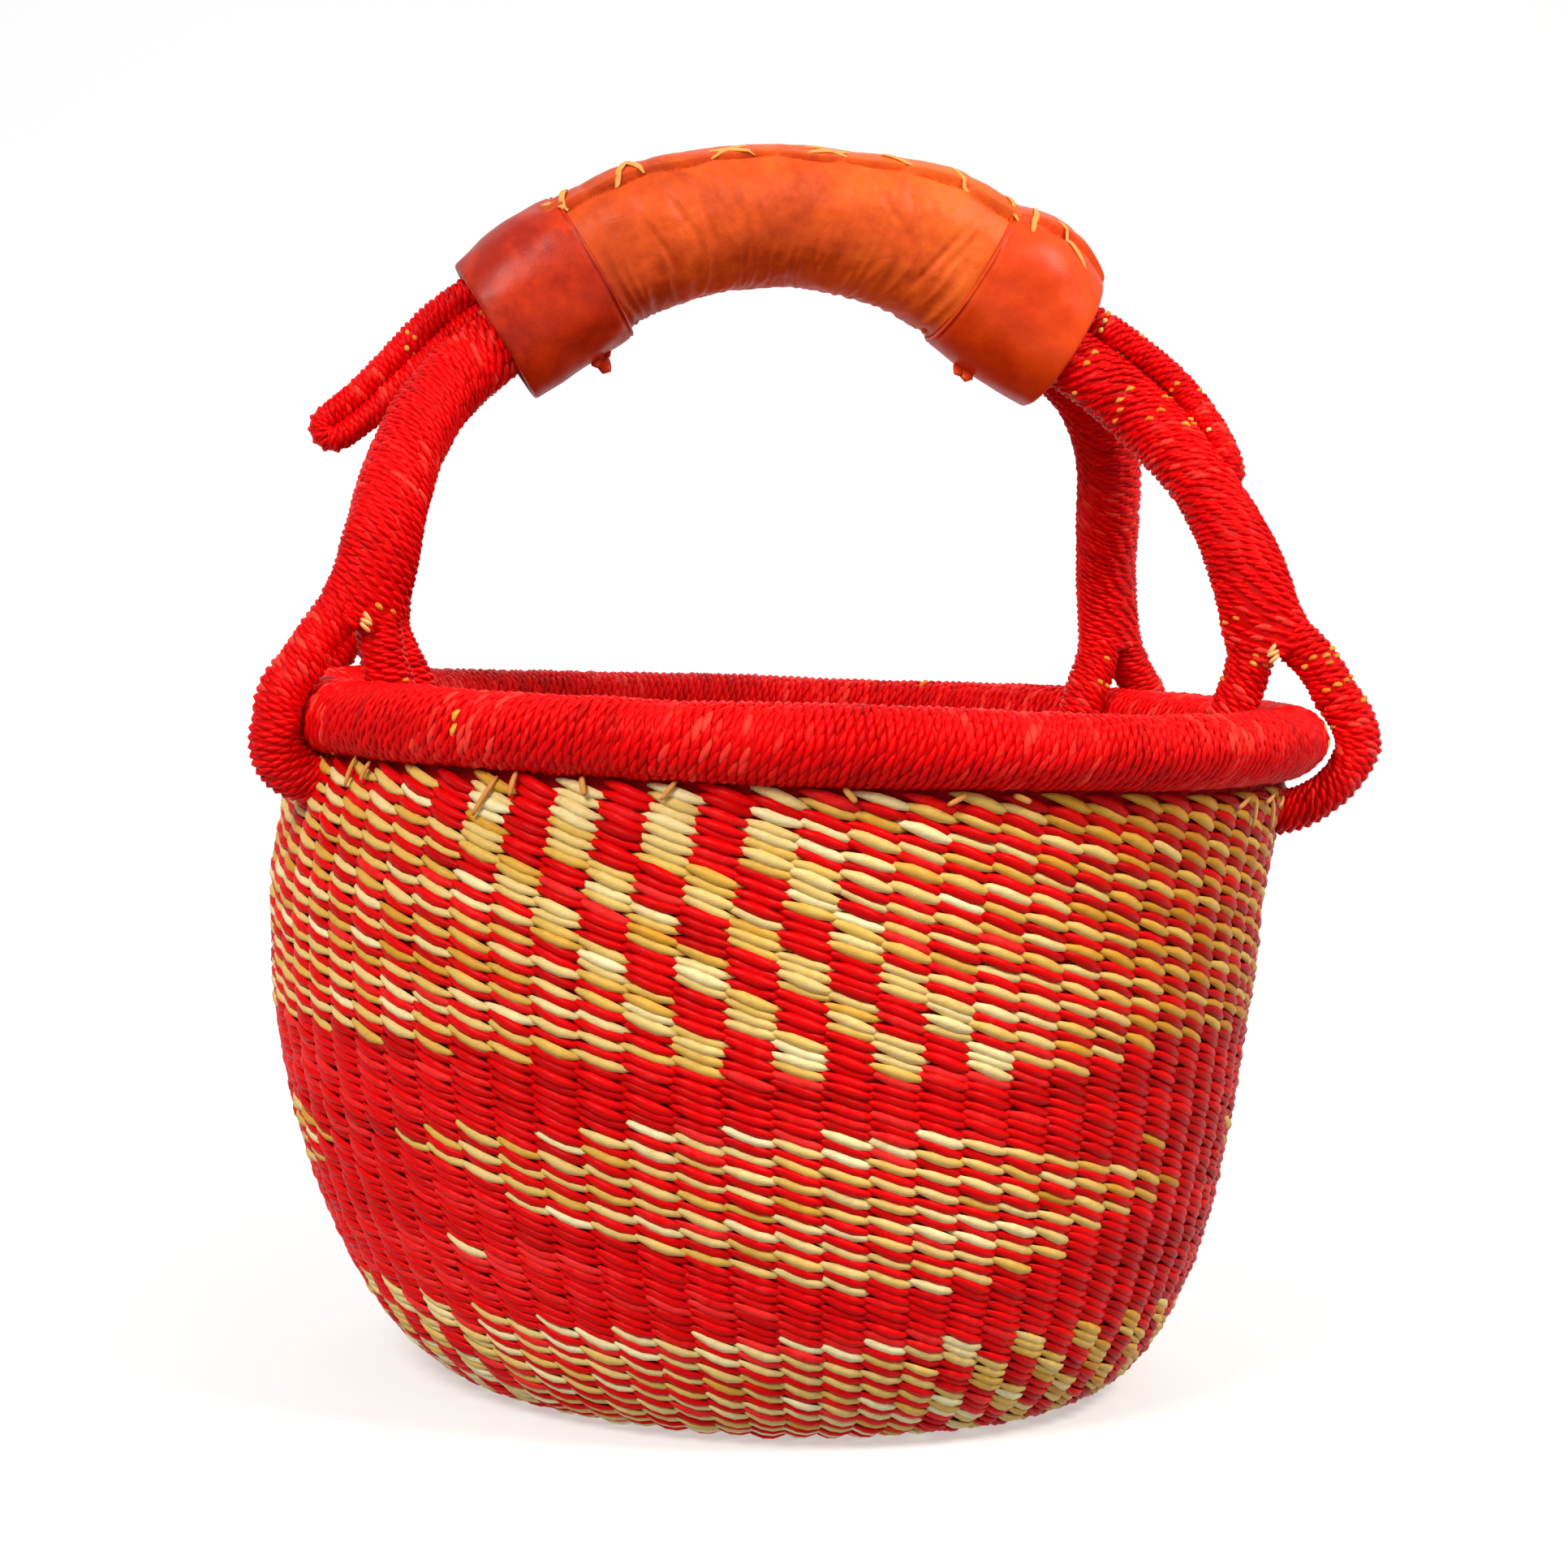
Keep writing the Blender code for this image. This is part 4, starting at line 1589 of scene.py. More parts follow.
@dataclass
class Handles:
    """All the corded parts above the wall: the rim, four legs with their loops, and two ears."""

    finishes: dict[str, bpy.types.Material]
    rim: Rim
    legs: dict[str, Leg]
    grip: GripLine

    def wind(self, name: str, nodes: tuple[str, ...], route: Route, **settings: object) -> None:
        """Winds cord round one route.

        Args:
            name: The piece's name.
            nodes: The CAD nodes that it stands for.
            route: The line to wind round.
            **settings: Changes to the winding's own sizes.
        """
        CordWinding(
            name=name,
            slot="red_cord",
            nodes=nodes,
            route=route,
            plain=self.finishes["cord"],
            fleck=self.finishes["fleck"],
            **settings,
        ).build()

    def left_ear(self) -> Ear:
        """The stub that sticks out of the left cuff, level with it.

        Returns:
            The ear.
        """
        forward, outward = self.grip.frame(-self.grip.half_grip)
        mouth = self.grip.point(-self.grip.half_grip) + outward * 9.3 * MM
        length = 55 * MM
        tip = mouth - forward * length - outward * 7.5 * MM
        line = [mouth + forward * 15 * MM] + list(
            interpolate_bezier(
                mouth, mouth - forward * length / 3, tip + forward * length / 3, tip, 24
            )
        )
        spread = outward * 4.2 * MM + Vector((0.0, 1.2 * MM, 0.0))
        shares = np.linspace(1.0, 0.80, len(line))
        return Ear("left_ear", line, [spread * float(share) for share in shares])

    def right_ear(self) -> Ear:
        """The stub that lies along the top of the right front leg.

        Returns:
            The ear.
        """
        leg = self.legs["right_front"]
        shaft = leg.shaft(120)[::-1]
        line: list[Vector] = []
        spreads: list[Vector] = []
        gone = 0.0
        reach = 58 * MM + leg.seat
        for before, point in zip(shaft, shaft[1:]):
            along = (point - before).normalized()
            gone += (point - before).length
            if gone > reach:
                break
            above = Vector((0.0, 1.0, 0.0)).cross(along).normalized()
            if above.z < 0:
                above.negate()
            share = gone / reach
            arch = 3.6 * MM * math.sin(math.pi * share**1.2)
            rise = leg.radius + 2.4 * MM + arch - share * 0.8 * MM
            aside = Vector((0.0, leg.seat_side * 0.6 * (1.0 - share), 0.0))
            line.append(point + above * rise + aside)
            spreads.append(above.cross(along).normalized() * 3.9 * MM)
        return Ear("right_ear", line, spreads)

    def build(self) -> None:
        """Winds the rim, the legs, the loops and the ears."""
        self.wind(
            "rim_wrap", ("rim_wrap", "rim_core"), self.rim.route(),
            slant=math.radians(-13.0), flecks=0.004, seed=3, groups=3, turn_pitch=2.35 * MM,
        )
        for number, leg in enumerate(self.legs.values()):
            flecks = 0.03 if leg.side > 0 else 0.012
            slant = math.radians(-32.0 if leg.place == "right_front" else -22.0)
            self.wind(
                f"{leg.place}_loop", (f"{leg.place}_loop_wrap",), leg.loop_route(),
                turn_pitch=2.0 * MM, crest_length=6.2 * MM, crest_spacing=4.0 * MM,
                flecks=flecks * 1.3, seed=10 + number,
            )
            self.wind(
                f"{leg.place}_leg", (f"{leg.place}_leg_wrap", f"{leg.place}_leg_core"),
                leg.leg_route(),
                turn_pitch=2.0 * MM, crest_length=7.0 * MM, crest_spacing=4.2 * MM,
                flecks=flecks, seed=20 + number, slant=slant,
            )
        for number, ear in enumerate((self.left_ear(), self.right_ear())):
            self.wind(
                ear.name, (ear.name,), ear.route(),
                turn_pitch=1.9 * MM, crest_length=5.0 * MM, crest_spacing=3.4 * MM,
                flecks=0.03, seed=40 + number,
            )


@dataclass
class LooseEnds:
    """Cut straw ends that the maker left: under the rim and in the crotch of each front leg."""

    outline: Outline
    legs: dict[str, Leg]
    natural: bpy.types.Material
    under_rim: tuple[tuple[float, float, float, float], ...] = (
        # degrees from the front, mm below the wall's top, mm long, degrees from upright
        (-54.0, 3.5, 9.0, 4.0), (-51.0, 3.0, 6.0, -8.0), (-32.0, 6.5, 12.0, -18.0),
        (-29.0, 3.0, 7.0, 6.0), (-21.0, 2.5, 6.0, 30.0), (-12.0, 2.5, 6.0, -25.0),
        (6.0, 2.0, 6.0, 50.0), (17.0, 2.5, 6.0, -60.0), (24.0, 2.0, 6.0, 70.0),
        (58.0, 4.0, 9.0, -70.0), (62.0, 7.0, 10.0, 12.0), (66.0, 3.5, 12.0, -80.0),
        (69.0, 8.0, 11.0, 25.0), (72.0, 5.0, 10.0, -75.0), (98.0, 4.0, 9.0, 15.0),
        (140.0, 4.0, 8.0, -30.0), (171.0, 3.0, 9.0, 10.0), (205.0, 4.0, 8.0, 60.0),
        (250.0, 3.0, 9.0, -15.0), (281.0, 4.0, 8.0, 35.0),
    )

    def build(self) -> None:
        """Places every end."""
        end = StrandShape(
            length=9 * MM, width=1.7 * MM, thickness=1.2 * MM, bow=0.4 * MM, lean=0.0,
            tip=0.5, fullness=0.4,
        )
        places = []
        for turn, below, long, tilt in self.under_rim:
            azimuth = FRONT + math.radians(turn)
            radius, height, _, _ = self.outline.at(np.array([below * MM]))
            radial = Vector((math.cos(azimuth), math.sin(azimuth), 0.0))
            around = Vector((-math.sin(azimuth), math.cos(azimuth), 0.0))
            lean = math.radians(tilt)
            along = around * math.sin(lean) - Vector((0.0, 0.0, 1.0)) * math.cos(lean)
            along = (along + radial * 0.12).normalized()
            across = radial.cross(along).normalized()
            origin = radial * (float(radius[0]) + 4.2 * MM) + Vector((0.0, 0.0, float(height[0])))
            places.append(self.place(along * (long / 10.0), across, along.cross(across), origin))
        for name in ("left_front", "right_front"):
            leg = self.legs[name]
            for step, tilt in ((0.0, 0.5), (1.5, 0.25), (2.8, 0.7)):
                origin = leg.rim + leg.up * (leg.crotch_height + (step - 2.0) * MM)
                origin += Vector((0.0, -7.0 * MM, 0.0)) - leg.across * 1.0 * MM
                along = (leg.across * math.cos(tilt) + leg.up * math.sin(tilt)).normalized()
                across = Vector((0.0, -1.0, 0.0)).cross(along).normalized()
                places.append(self.place(along * 0.42, across * 0.8, along.cross(across), origin))
        tones = np.linspace(0.2, 0.8, len(places))
        piece = scatter("loose_straw_ends", end, np.array(places), tones, seed=77)
        settle(piece, self.natural, ["top_pattern_band"])

    @staticmethod
    def place(along: Vector, across: Vector, outward: Vector, origin: Vector) -> np.ndarray:
        """One straw's matrix, from its three axes and its origin.

        Args:
            along: Its long axis, scaled to its length.
            across: The axis of its width.
            outward: The axis of its bow.
            origin: Its middle.

        Returns:
            The matrix.
        """
        corner = np.eye(4)
        corner[:3] = np.stack([along, across, outward, origin], axis=1)
        return corner


# ---- leather grip


@dataclass
class LeatherGrip:
    """The leather sleeve, sewn along the front of its top, and the cuff at each of its ends."""

    line: GripLine
    sleeve: bpy.types.Material
    cuff: bpy.types.Material
    straw: bpy.types.Material
    core: bpy.types.Material
    sleeve_radius: float = 20.0 * MM
    cuff_radius: float = 21.8 * MM
    seam_angle: float = math.radians(33.0)
    sleeve_sides: int = 180
    cuff_sides: int = 150
    cuff_edge: float = 0.9 * MM
    thong_length: float = 6.4 * MM
    thong_thickness: float = 1.0 * MM
    # Each fold's start and end, in mm from the middle and degrees from the top, and mm deep.
    folds: tuple[tuple[tuple[float, float], tuple[float, float], float], ...] = (
        ((33, 62), (43, 128), 1.1), ((49, 68), (43, 128), 0.9), ((26, 70), (36, 96), 0.5),
        ((-33, 60), (-28, 112), 0.6), ((-25, 74), (-23, 118), 0.5), ((-41, 80), (-37, 130), 0.7),
        ((8, 110), (10, 150), 0.6), ((53, 60), (50, 100), 0.6), ((18, 45), (25, 62), 0.4),
    )

    def skin_point(self, along: float, angle: float, radius: float) -> Vector:
        """A point on the grip's skin.

        Args:
            along: The distance from the grip's middle, positive to the right.
            angle: From the top towards the front.
            radius: From the grip's own line.

        Returns:
            The point.
        """
        _, outward = self.line.frame(along)
        direction = outward * math.cos(angle) - Vector((0.0, math.sin(angle), 0.0))
        return self.line.point(along) + direction * radius

    def near_seam(self, angle: float) -> float:
        """Moves an even angle round the skin closer to the seam, where the detail is finest.

        Args:
            angle: The even angle, from the top towards the front.

        Returns:
            The moved angle, between half a turn either way.
        """
        even = angle - self.seam_angle
        moved = self.seam_angle + even - 0.72 * math.sin(even)
        return (moved + math.pi) % (2 * math.pi) - math.pi

    def top_swell(self, along: float, angle: float) -> float:
        """How far the lapped seam fills out the top of the grip's shoulders.

        Args:
            along: The distance from the grip's middle, positive to the right.
            angle: From the top towards the front.

        Returns:
            The extra radius.
        """
        share = min(max((abs(along) / self.line.half_arc - 0.20) / 0.60, 0.0), 1.0)
        most = 4.4 * MM if along > 0 else 2.0 * MM
        return most * share * share * (3.0 - 2.0 * share) * max(math.cos(angle), 0.0)

    def crease(self, along: float, angle: float) -> float:
        """The depth of the few sharp folds that the bent leather has taken.

        Args:
            along: The distance from the grip's middle, positive to the right.
            angle: From the top towards the front.

        Returns:
            The change in radius, 0 or less.
        """
        spot = Vector((along, angle * self.sleeve_radius))
        depth = 0.0
        for first, last, deep in self.folds:
            start = Vector((first[0] * MM, math.radians(first[1]) * self.sleeve_radius))
            end = Vector((last[0] * MM, math.radians(last[1]) * self.sleeve_radius))
            run = end - start
            share = min(max((spot - start).dot(run) / run.length_squared, 0.0), 1.0)
            away = (spot - start - run * share).length
            fade = math.sin(math.pi * min(max(share, 0.04), 0.96)) ** 0.5
            depth += deep * MM * fade * math.exp(-((away / (1.1 * MM)) ** 2))
        return -depth

    def wrinkle(self, along: float, angle: float) -> float:
        """How far the leather stands above its plain radius, from slack and folds.

        Args:
            along: The distance from the grip's middle, positive to the right.
            angle: From the top towards the front.

        Returns:
            The change in radius.
        """
        spot = Vector((along * 42.0, math.cos(angle) * 1.4, math.sin(angle) * 1.4))
        slack = noise.fractal(spot, 0.8, 2.1, 3) * 0.6 * MM
        under = 0.5 - 0.5 * math.cos(angle)
        sway = noise.noise(Vector((along * 30.0, angle * 0.8, 7.0))) * 4.0 * MM
        ridge = 1.0 - abs(noise.noise(Vector(((along + sway) * 230.0, angle * 0.7, 3.0)))) * 2.0
        gathers = (ridge - 0.5) * (0.15 + 0.75 * under**2) * MM
        return slack + gathers + self.crease(along, angle) + self.top_swell(along, angle)

    def seam_rise(self, along: float, angle: float) -> float:
        """The height of the lapped edge along the seam, pinched at each stitch.

        Args:
            along: The distance from the grip's middle, positive to the right.
            angle: From the top towards the front.

        Returns:
            The change in radius.
        """
        if angle < -math.pi / 2:
            return 0.0
        pinch = abs(math.sin(along * math.pi / (16 * MM) + 0.5)) ** 0.6
        wander = noise.noise(Vector((along * 60.0, 5.0, 0.0))) * 1.6 * MM
        gap = (self.seam_angle - angle) * self.sleeve_radius + wander + pinch * 1.4 * MM
        slit = 1.0 * MM + 1.0 * MM * pinch
        if gap < 0.0:
            return -slit * max(1.0 + gap / (1.6 * MM), 0.0) ** 2
        share = min(max(abs(along) / self.line.half_arc - 0.3, 0.0) / 0.5, 1.0)
        lap = (1.1 + 1.3 * share) * MM * (0.55 + 0.45 * pinch)
        edge = math.sqrt(min(gap / (0.8 * MM), 1.0))
        faded = 1.0 - math.exp(-max(gap - 5 * MM, 0) / (6 * MM))
        return -slit + (lap + slit) * edge - lap * faded

    def build_sleeve(self) -> None:
        """Builds the sleeve as a tube of leather, then lifts its seam and folds."""
        shape = bmesh.new()
        half = self.line.half_sleeve
        lengths = np.linspace(-half, half, 230)
        stations = [self.line.ring(along, self.sleeve_radius) for along in lengths]
        sides = self.sleeve_sides
        corners = sweep(shape, stations, sides)
        for index, corner in enumerate(corners):
            along = float(lengths[index // sides])
            _, outward = self.line.frame(along)
            arm = corner.co - self.line.point(along)
            angle = self.near_seam(math.atan2(-arm.y, arm.dot(outward)))
            radius = self.sleeve_radius + self.wrinkle(along, angle) + self.seam_rise(along, angle)
            ends = min((half - abs(along)) / (6 * MM), 1.0)
            corner.co = self.skin_point(along, angle, radius - (1.0 - ends) * 0.6 * MM)
        piece = made_object("grip_sleeve", finished_mesh(shape, "grip_sleeve"))
        settle(piece, self.sleeve, ["grip_sleeve", "grip_core"])

    def cuff_skin(self, side: int, along: float, angle: float) -> float:
        """How far a cuff stands above its plain radius.

        Args:
            side: 1 for the right cuff and -1 for the left.
            along: The distance from the grip's middle, always positive.
            angle: From the top towards the front.

        Returns:
            The extra radius.
        """
        start, end = self.line.half_arc, self.line.half_grip
        share = min(max((along - start) / (end - start), 0.0), 1.0)
        spot = Vector((along * 60.0, math.cos(angle) * 1.5, math.sin(angle) * 1.5 + side))
        soft = noise.fractal(spot, 0.9, 2.0, 2) * 0.7 * MM
        crown = (4.0 if side > 0 else 1.6) * max(math.cos(angle), 0.0)
        bulge = (0.7 + crown) * MM * math.sin(math.pi * share) ** 0.8
        bulge += self.top_swell(side * start, angle) * (1.0 - share) * 0.7
        if side > 0:
            bulge += self.seam_rise(along, angle + 0.35 * share) * min(share * 3.0, 1.0) * 0.8
        return soft + bulge

    def build_cuff(self, side: int) -> None:
        """Builds one cuff as a short, thick tube with rounded edges, open at its mouth.

        Args:
            side: 1 for the right cuff and -1 for the left.
        """
        name = "right_cuff" if side > 0 else "left_cuff"
        shape = bmesh.new()
        start, end = self.line.half_arc, self.line.half_grip
        edge = self.cuff_edge
        profile = [(start + edge * (1 - math.sin(t)), -edge * (1 - math.cos(t)))
                   for t in np.linspace(0.0, math.pi / 2, 4)]
        profile += [(x, 0.0) for x in np.linspace(start + 2 * MM, end - 2 * MM, 26)]
        profile += [(end - edge * (1 - math.cos(t)), -edge * (1 - math.sin(t)))
                    for t in np.linspace(math.pi / 2, -math.pi / 2, 7)]
        thick = 2 * edge
        profile += [(x, -thick) for x in np.linspace(end - 3 * MM, start + 2 * MM, 12)]
        profile += [(start + edge, -thick)]
        sides = self.cuff_sides
        stations = [
            self.line.ring(side * along, self.cuff_radius + rise) for along, rise in profile
        ]
        corners = sweep(shape, stations, sides, closed=True)
        for index, corner in enumerate(corners):
            along, rise = profile[index // sides]
            middle = self.line.point(side * along)
            forward, outward = self.line.frame(side * along)
            arm = corner.co - middle
            angle = self.near_seam(math.atan2(-arm.y, arm.dot(outward)))
            tilt = math.sin(angle - 0.5) * 1.4 * MM
            reach = self.cuff_radius + rise + self.cuff_skin(side, along, angle)
            corner.co = self.skin_point(side * along, angle, reach) + forward * side * tilt
        piece = made_object(name, finished_mesh(shape, name))
        settle(piece, self.cuff, [name])
        self.build_plug(side)
        self.build_tie(side)

    def build_plug(self, side: int) -> None:
        """Builds the grass ends that fill a cuff's mouth behind the legs, dark with painted shade.

        Args:
            side: 1 for the right cuff and -1 for the left.
        """
        name = "right_grass_end" if side > 0 else "left_grass_end"
        shape = bmesh.new()
        stations = []
        for inset, share in ((24 * MM, 0.93), (12 * MM, 0.92), (9 * MM, 0.75), (8 * MM, 0.30)):
            along = side * (self.line.half_grip - inset)
            stations.append(self.line.ring(along, (self.cuff_radius - 2 * MM) * share))
        sweep(shape, stations, 32)
        mesh = finished_mesh(shape, name)
        note_plain_strands(mesh, 0.4)
        settle(made_object(name, mesh), self.core, ["grip_core"])

    def build_tie(self, side: int) -> None:
        """Builds the knotted leather tie under one cuff.

        Args:
            side: 1 for the right cuff and -1 for the left.
        """
        name = "right_cuff_tie" if side > 0 else "left_cuff_tie"
        low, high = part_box(name)
        middle = (low + high) / 2
        size = high - low
        shape = bmesh.new()
        length = self.thong_length
        # Each thong's turn from level, its share of the length, and its width in mm.
        for turn, reach, wide in ((1.25, 1.0, 2.2), (1.9, 0.75, 1.7), (0.2, 0.5, 1.4)):
            stations = []
            for share in np.linspace(0.0, 1.0, 12):
                down = Vector((share * length * reach, 0.9 * MM * math.sin(share * 5.0), 0.0))
                place = middle + Vector((0.0, 0.0, size.z * 0.4 + 1.2 * MM))
                place += Matrix.Rotation(turn, 3, "Y") @ down
                full = 0.35 + 0.65 * math.sin(math.pi * min(0.15 + share * 0.8, 1.0)) ** 0.6
                grow = Matrix.Diagonal((self.thong_thickness * full, wide * MM * full, 1.0, 1.0))
                aimed = Matrix.Rotation(turn, 4, "Y") @ ACROSS_X.to_4x4() @ grow
                stations.append(Matrix.Translation(place) @ aimed)
            sweep(shape, stations, 14)
        piece = made_object(name, finished_mesh(shape, name))
        settle(piece, self.cuff, [name])

    def build_lacing(self) -> None:
        """Builds the straw stitches that lace the seam shut."""
        shape = bmesh.new()
        sides = 8
        # Each stitch in mm: from and to along the grip, then from and to below the seam.
        plans = (
            (-62, -57, 4, -3), (-58, -54, -3, 5), (-44, -38, -4, 4), (-40, -36, 5, -2),
            (-20, -8, 2, -2), (-19, -9, -2, 3), (4, 15, 3, -1), (5, 16, -2, 2),
            (23, 31, 3, -1), (40, 46, 3, -3), (54, 60, 4, -3), (63, 65, 5, -5), (70, 84, 2, -4),
        )
        nudge = 0.2 * MM  # how far ahead a stitch's direction is taken
        strand: list[tuple[float, float, float]] = []
        for number, (start, end, first, last) in enumerate(plans):
            stations = []
            length = (end - start) * MM
            for share in np.linspace(0.0, 1.0, 9):
                along = start * MM + share * length
                offset = (first + (last - first) * share) * MM
                angle = self.seam_angle - offset / self.sleeve_radius - math.radians(4.0)
                skin = self.top_swell(along, angle) + max(self.seam_rise(along, angle), 0.0)
                if abs(along) > self.line.half_arc:
                    skin = self.cuff_radius - self.sleeve_radius
                    skin += self.cuff_skin(1 if along > 0 else -1, abs(along), angle)
                lift = self.sleeve_radius + skin + 0.4 * MM * math.sin(share * math.pi) ** 0.5
                point = self.skin_point(along, angle, lift)
                drop = (last - first) * MM / abs(length)
                ahead = self.skin_point(
                    along + nudge * math.copysign(1, length),
                    angle - drop * nudge / self.sleeve_radius,
                    lift,
                )
                run = (ahead - point).normalized()
                out = (point - self.line.point(along)).normalized()
                wide = run.cross(out).normalized()
                full = 0.45 + 0.55 * math.sin(share * math.pi) ** 0.4
                section = Matrix((wide * 1.05 * MM * full, wide.cross(run) * 0.35 * MM * full, run))
                stations.append(Matrix.Translation(point) @ section.transposed().to_4x4())
            before = len(shape.verts)
            sweep(shape, stations, sides)
            made = len(shape.verts) - before
            strand += [
                (number * 7.0 + 0.6 * (k // sides), 0.4 * (k % sides), float(number))
                for k in range(made)
            ]
        mesh = finished_mesh(shape, "seam_lacing")
        note_strands(mesh, np.array(strand), np.tile((0.35, 0.0, 0.0), (len(strand), 1)))
        settle(made_object("seam_lacing", mesh), self.straw, ["seam_lacing"])

    def build(self) -> None:
        """Builds the sleeve, both cuffs and the lacing."""
        self.build_sleeve()
        for side in (-1, 1):
            self.build_cuff(side)
        self.build_lacing()


# ---- studio


@dataclass(frozen=True)
class SoftBox:
    """One large, soft studio light."""

    name: str
    place: tuple[float, float, float]
    aim: tuple[float, float, float]
    size: float
    watts: float
    tint: str = "#FFFFFF"

    def build(self) -> None:
        """Hangs the light and aims it."""
        lamp = bpy.data.lights.new(self.name, "AREA")
        lamp.shape = "DISK"
        lamp.size = self.size
        lamp.energy = self.watts
        lamp.color = linear(self.tint)[:3]
        holder = bpy.data.objects.new(self.name, lamp)
        holder.location = self.place
        aim = Vector(self.aim) - Vector(self.place)
        holder.rotation_euler = aim.to_track_quat("-Z", "Y").to_euler()
        bpy.context.scene.collection.objects.link(holder)


@dataclass(frozen=True)
class Studio:
    """A pale, plain floor, soft lights and the camera."""

    floor_colour: str = "#C8CCCE"
    floor_roughness: float = 0.8
    floor_shine: float = 0.1
    floor_glow: float = 0.44
    floor_half_width: float = 6.0
    backdrop: float = 1.6
    world_colour: str = "#FFFFFF"
    world_strength: float = 0.50
    turn: float = math.radians(-8.5)
    distance: float = 0.95
    height: float = 0.218
    pitch: float = math.radians(-3.0)
    yaw: float = math.radians(0.2)
    roll: float = math.radians(2.0)
    lens: float = 75.8
    sensor: float = 36.0

    def build_floor(self) -> None:
        """Builds a floor that sweeps up to a backdrop behind the basket."""
        shape = bmesh.new()
        back, half = self.backdrop, self.floor_half_width
        cos, sin = math.cos(self.turn), math.sin(self.turn)
        line = [(-half, 0.0), (back, 0.0)]
        line += [(back + math.sin(t), 1.0 - math.cos(t)) for t in np.linspace(0.1, 1.57, 12)]
        line += [(back + 1.0, 5.0)]
        verts = [
            shape.verts.new((-sin * depth - half * cos, cos * depth - half * sin, rise))
            for depth, rise in line
        ]
        edges = [shape.edges.new(pair) for pair in zip(verts, verts[1:])]
        wide = bmesh.ops.extrude_edge_only(shape, edges=edges)
        moved = [item for item in wide["geom"] if isinstance(item, bmesh.types.BMVert)]
        across = Vector((cos, sin, 0.0)) * 2 * half
        bmesh.ops.translate(shape, verts=moved, vec=across)
        mesh = finished_mesh(shape, "studio_floor")
        floor = made_object("studio_floor", mesh)
        material, shader = blank("painted_studio_floor", self.floor_roughness)
        shader.inputs["Base Color"].default_value = linear(self.floor_colour)
        shader.inputs["Specular IOR Level"].default_value = self.floor_shine
        shader.inputs["Emission Color"].default_value = linear(self.world_colour)
        shader.inputs["Emission Strength"].default_value = self.floor_glow
        floor.data.materials.append(material)
        floor.visible_diffuse = False  # it throws no light back up, so the shaded side stays deep

    def build_camera(self) -> None:
        """Places the camera at the basket's front, a little above its middle."""
        lens = bpy.data.cameras.new("camera")
        lens.lens = self.lens
        lens.sensor_width = self.sensor
        camera = bpy.data.objects.new("camera", lens)
        place = Vector(
            (math.sin(self.turn) * self.distance, -math.cos(self.turn) * self.distance, self.height)
        )
        upright = Matrix.Rotation(self.turn + self.yaw, 4, "Z")
        tipped = Matrix.Rotation(math.pi / 2 + self.pitch, 4, "X")
        camera.matrix_world = (
            Matrix.Translation(place) @ upright @ tipped @ Matrix.Rotation(self.roll, 4, "Z")
        )
        bpy.context.scene.collection.objects.link(camera)
        bpy.context.scene.camera = camera

    def build(self) -> None:
        """Builds the floor, the world, the lights and the camera."""
        self.build_floor()
        world = bpy.data.worlds.new("studio_air")
        world.use_nodes = True
        sky = world.node_tree.nodes["Background"]
        sky.inputs["Color"].default_value = linear(self.world_colour)
        sky.inputs["Strength"].default_value = self.world_strength
        bpy.context.scene.world = world
        for light in (
            SoftBox("key_light", (-1.2, -1.6, 1.7), (0.0, 0.0, 0.15), 0.9, 50.0, "#FFFAF2"),
            SoftBox("high_light", (1.5, -1.2, 2.1), (0.0, 0.0, 0.25), 0.9, 56.0, "#FFF4E6"),
            SoftBox("back_light", (0.3, 2.4, 2.2), (0.0, 0.0, 0.15), 2.0, 14.0),
        ):
            light.build()
        self.build_camera()
        bpy.context.scene.view_settings.view_transform = "Standard"


# ---- the whole basket


def cut_sizes() -> tuple[Outline, dict[str, tuple[float, float]]]:
    """Reads the wall's outline and the courses' heights from the CAD.

    Returns:
        The outline, and each course's lowest and highest height.
    """
    low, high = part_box("base_weave")
    foot = (high.x - low.x) / 2
    wall_low, wall_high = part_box("top_pattern_band")
    widest = (wall_high.x - wall_low.x) / 2
    courses = {name: (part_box(name)[0].z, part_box(name)[1].z) for name in COURSES}
    LOG.info("foot %.4f, widest %.4f, wall top %.4f", foot, widest, wall_high.z)
    return Outline(foot=foot, widest=widest, top=wall_high.z, thickness=6.5 * MM), courses


def build_body(
    finishes: dict[str, bpy.types.Material],
    outline: Outline,
    courses: dict[str, tuple[float, float]],
) -> None:
    """Builds the woven wall and base.

    Args:
        finishes: Every straw and cord material by name.
        outline: The wall's outline.
        courses: The lowest and highest height of each course.
    """
    weave = Weave(outline)
    BasketBody(
        outline=outline,
        weave=weave,
        pattern=Pattern(stakes=weave.stakes, courses=courses),
        finishes={Dye.NATURAL: finishes["natural"], Dye.RED: finishes["red"]},
        core=finishes["core"],
    ).build()


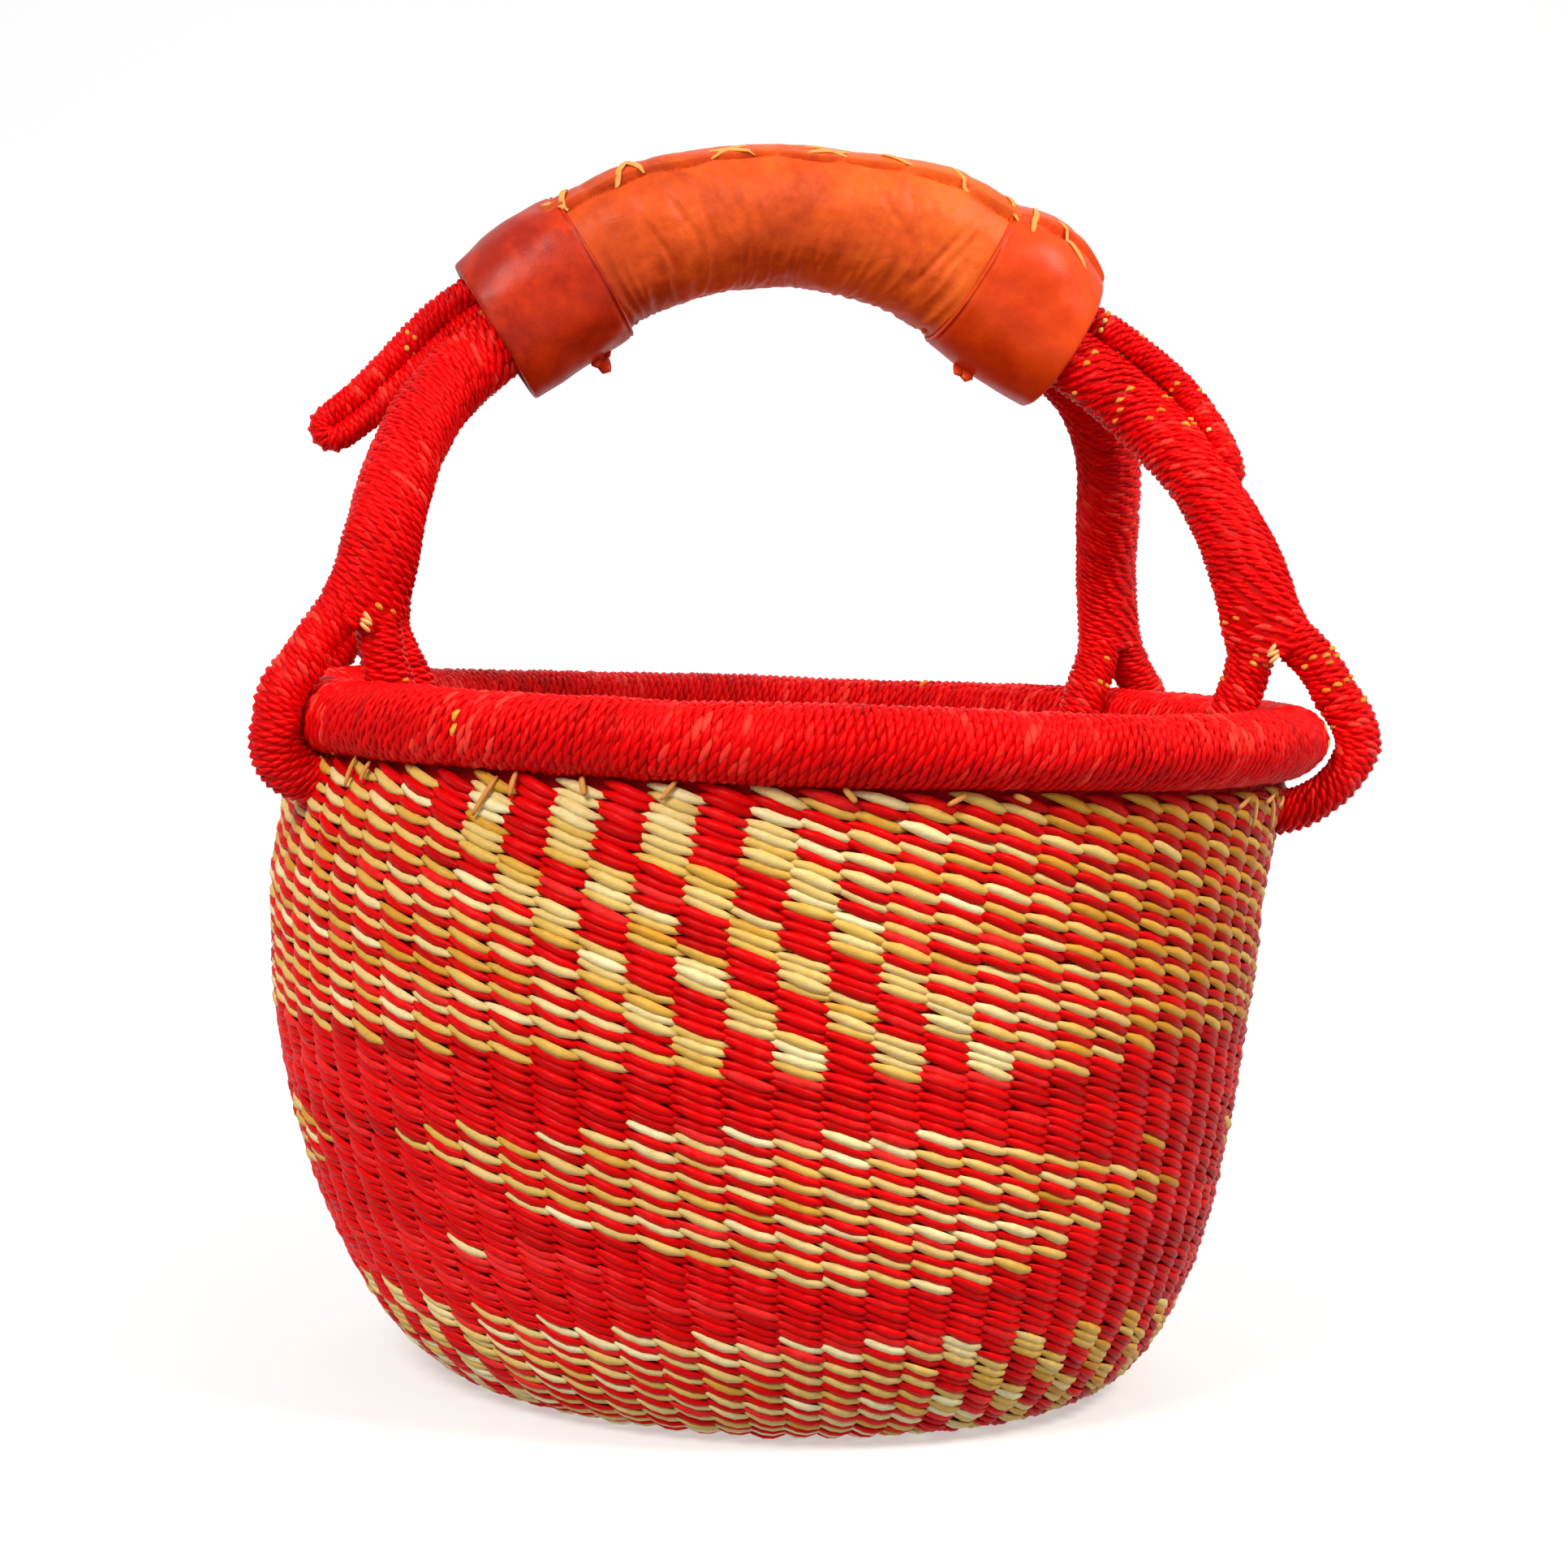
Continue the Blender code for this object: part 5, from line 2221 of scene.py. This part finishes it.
def build_handles(finishes: dict[str, bpy.types.Material], outline: Outline) -> None:
    """Builds the rim, the legs, the ears and the leather grip.

    Args:
        finishes: Every straw and cord material by name.
        outline: The wall's outline, where loose ends lie on it.
    """
    low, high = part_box("rim_wrap")
    tube = (high.z - low.z) / 2
    rim = Rim(radius=(high.x - low.x) / 2 - tube, height=(high.z + low.z) / 2, wrap_radius=tube)
    line = GripLine(top=Vector((-0.006, 0.020, 0.3325)))
    # For each leg: degrees round from +X, degrees that it leans in, its loop's radius in mm, and
    # how far its outer branch bulges in mm.
    turns = dict(zip(LEGS, (-16.5, 36.0, 196.5, 154.0)))
    leans = dict(zip(LEGS, (15.0, 9.0, 13.0, 4.0)))
    loops = dict(zip(LEGS, (18.8, 17.8, 17.1, 17.8)))
    shoulders = dict(zip(LEGS, (4.2, 0.0, 3.0, 0.0)))
    legs = {
        place: Leg(
            place=place,
            azimuth=math.radians(turn),
            rim_radius=rim.radius,
            rim_height=rim.height,
            grip=line,
            lean=math.radians(leans[place]),
            eye_radius=loops[place] * MM,
            shoulder=shoulders[place] * MM,
        )
        for place, turn in turns.items()
    }
    Handles(finishes=finishes, rim=rim, legs=legs, grip=line).build()
    LeatherGrip(
        line=line,
        sleeve=SLEEVE_LEATHER.material(),
        cuff=CUFF_LEATHER.material(),
        straw=finishes["lacing"],
        core=finishes["core"],
    ).build()
    LooseEnds(outline=outline, legs=legs, natural=finishes["lacing"]).build()


def note_sizes() -> None:
    """Brings every object's placement up to date."""
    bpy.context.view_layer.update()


def main() -> None:
    """Builds the basket and its studio."""
    logging.basicConfig(level=logging.INFO, format="%(message)s")
    finishes = {
        "natural": NATURAL_STRAW.material(),
        "red": RED_STRAW.material(),
        "cord": RED_CORD.material(),
        "fleck": FLECKED_CORD.material(),
        "core": SHADED_GRASS_CORE.material(),
        "lacing": LACING_STRAW.material(),
    }
    outline, courses = cut_sizes()
    build_body(finishes, outline, courses)
    build_handles(finishes, outline)
    Studio().build()
    note_sizes()


if __name__ == "__main__":
    main()
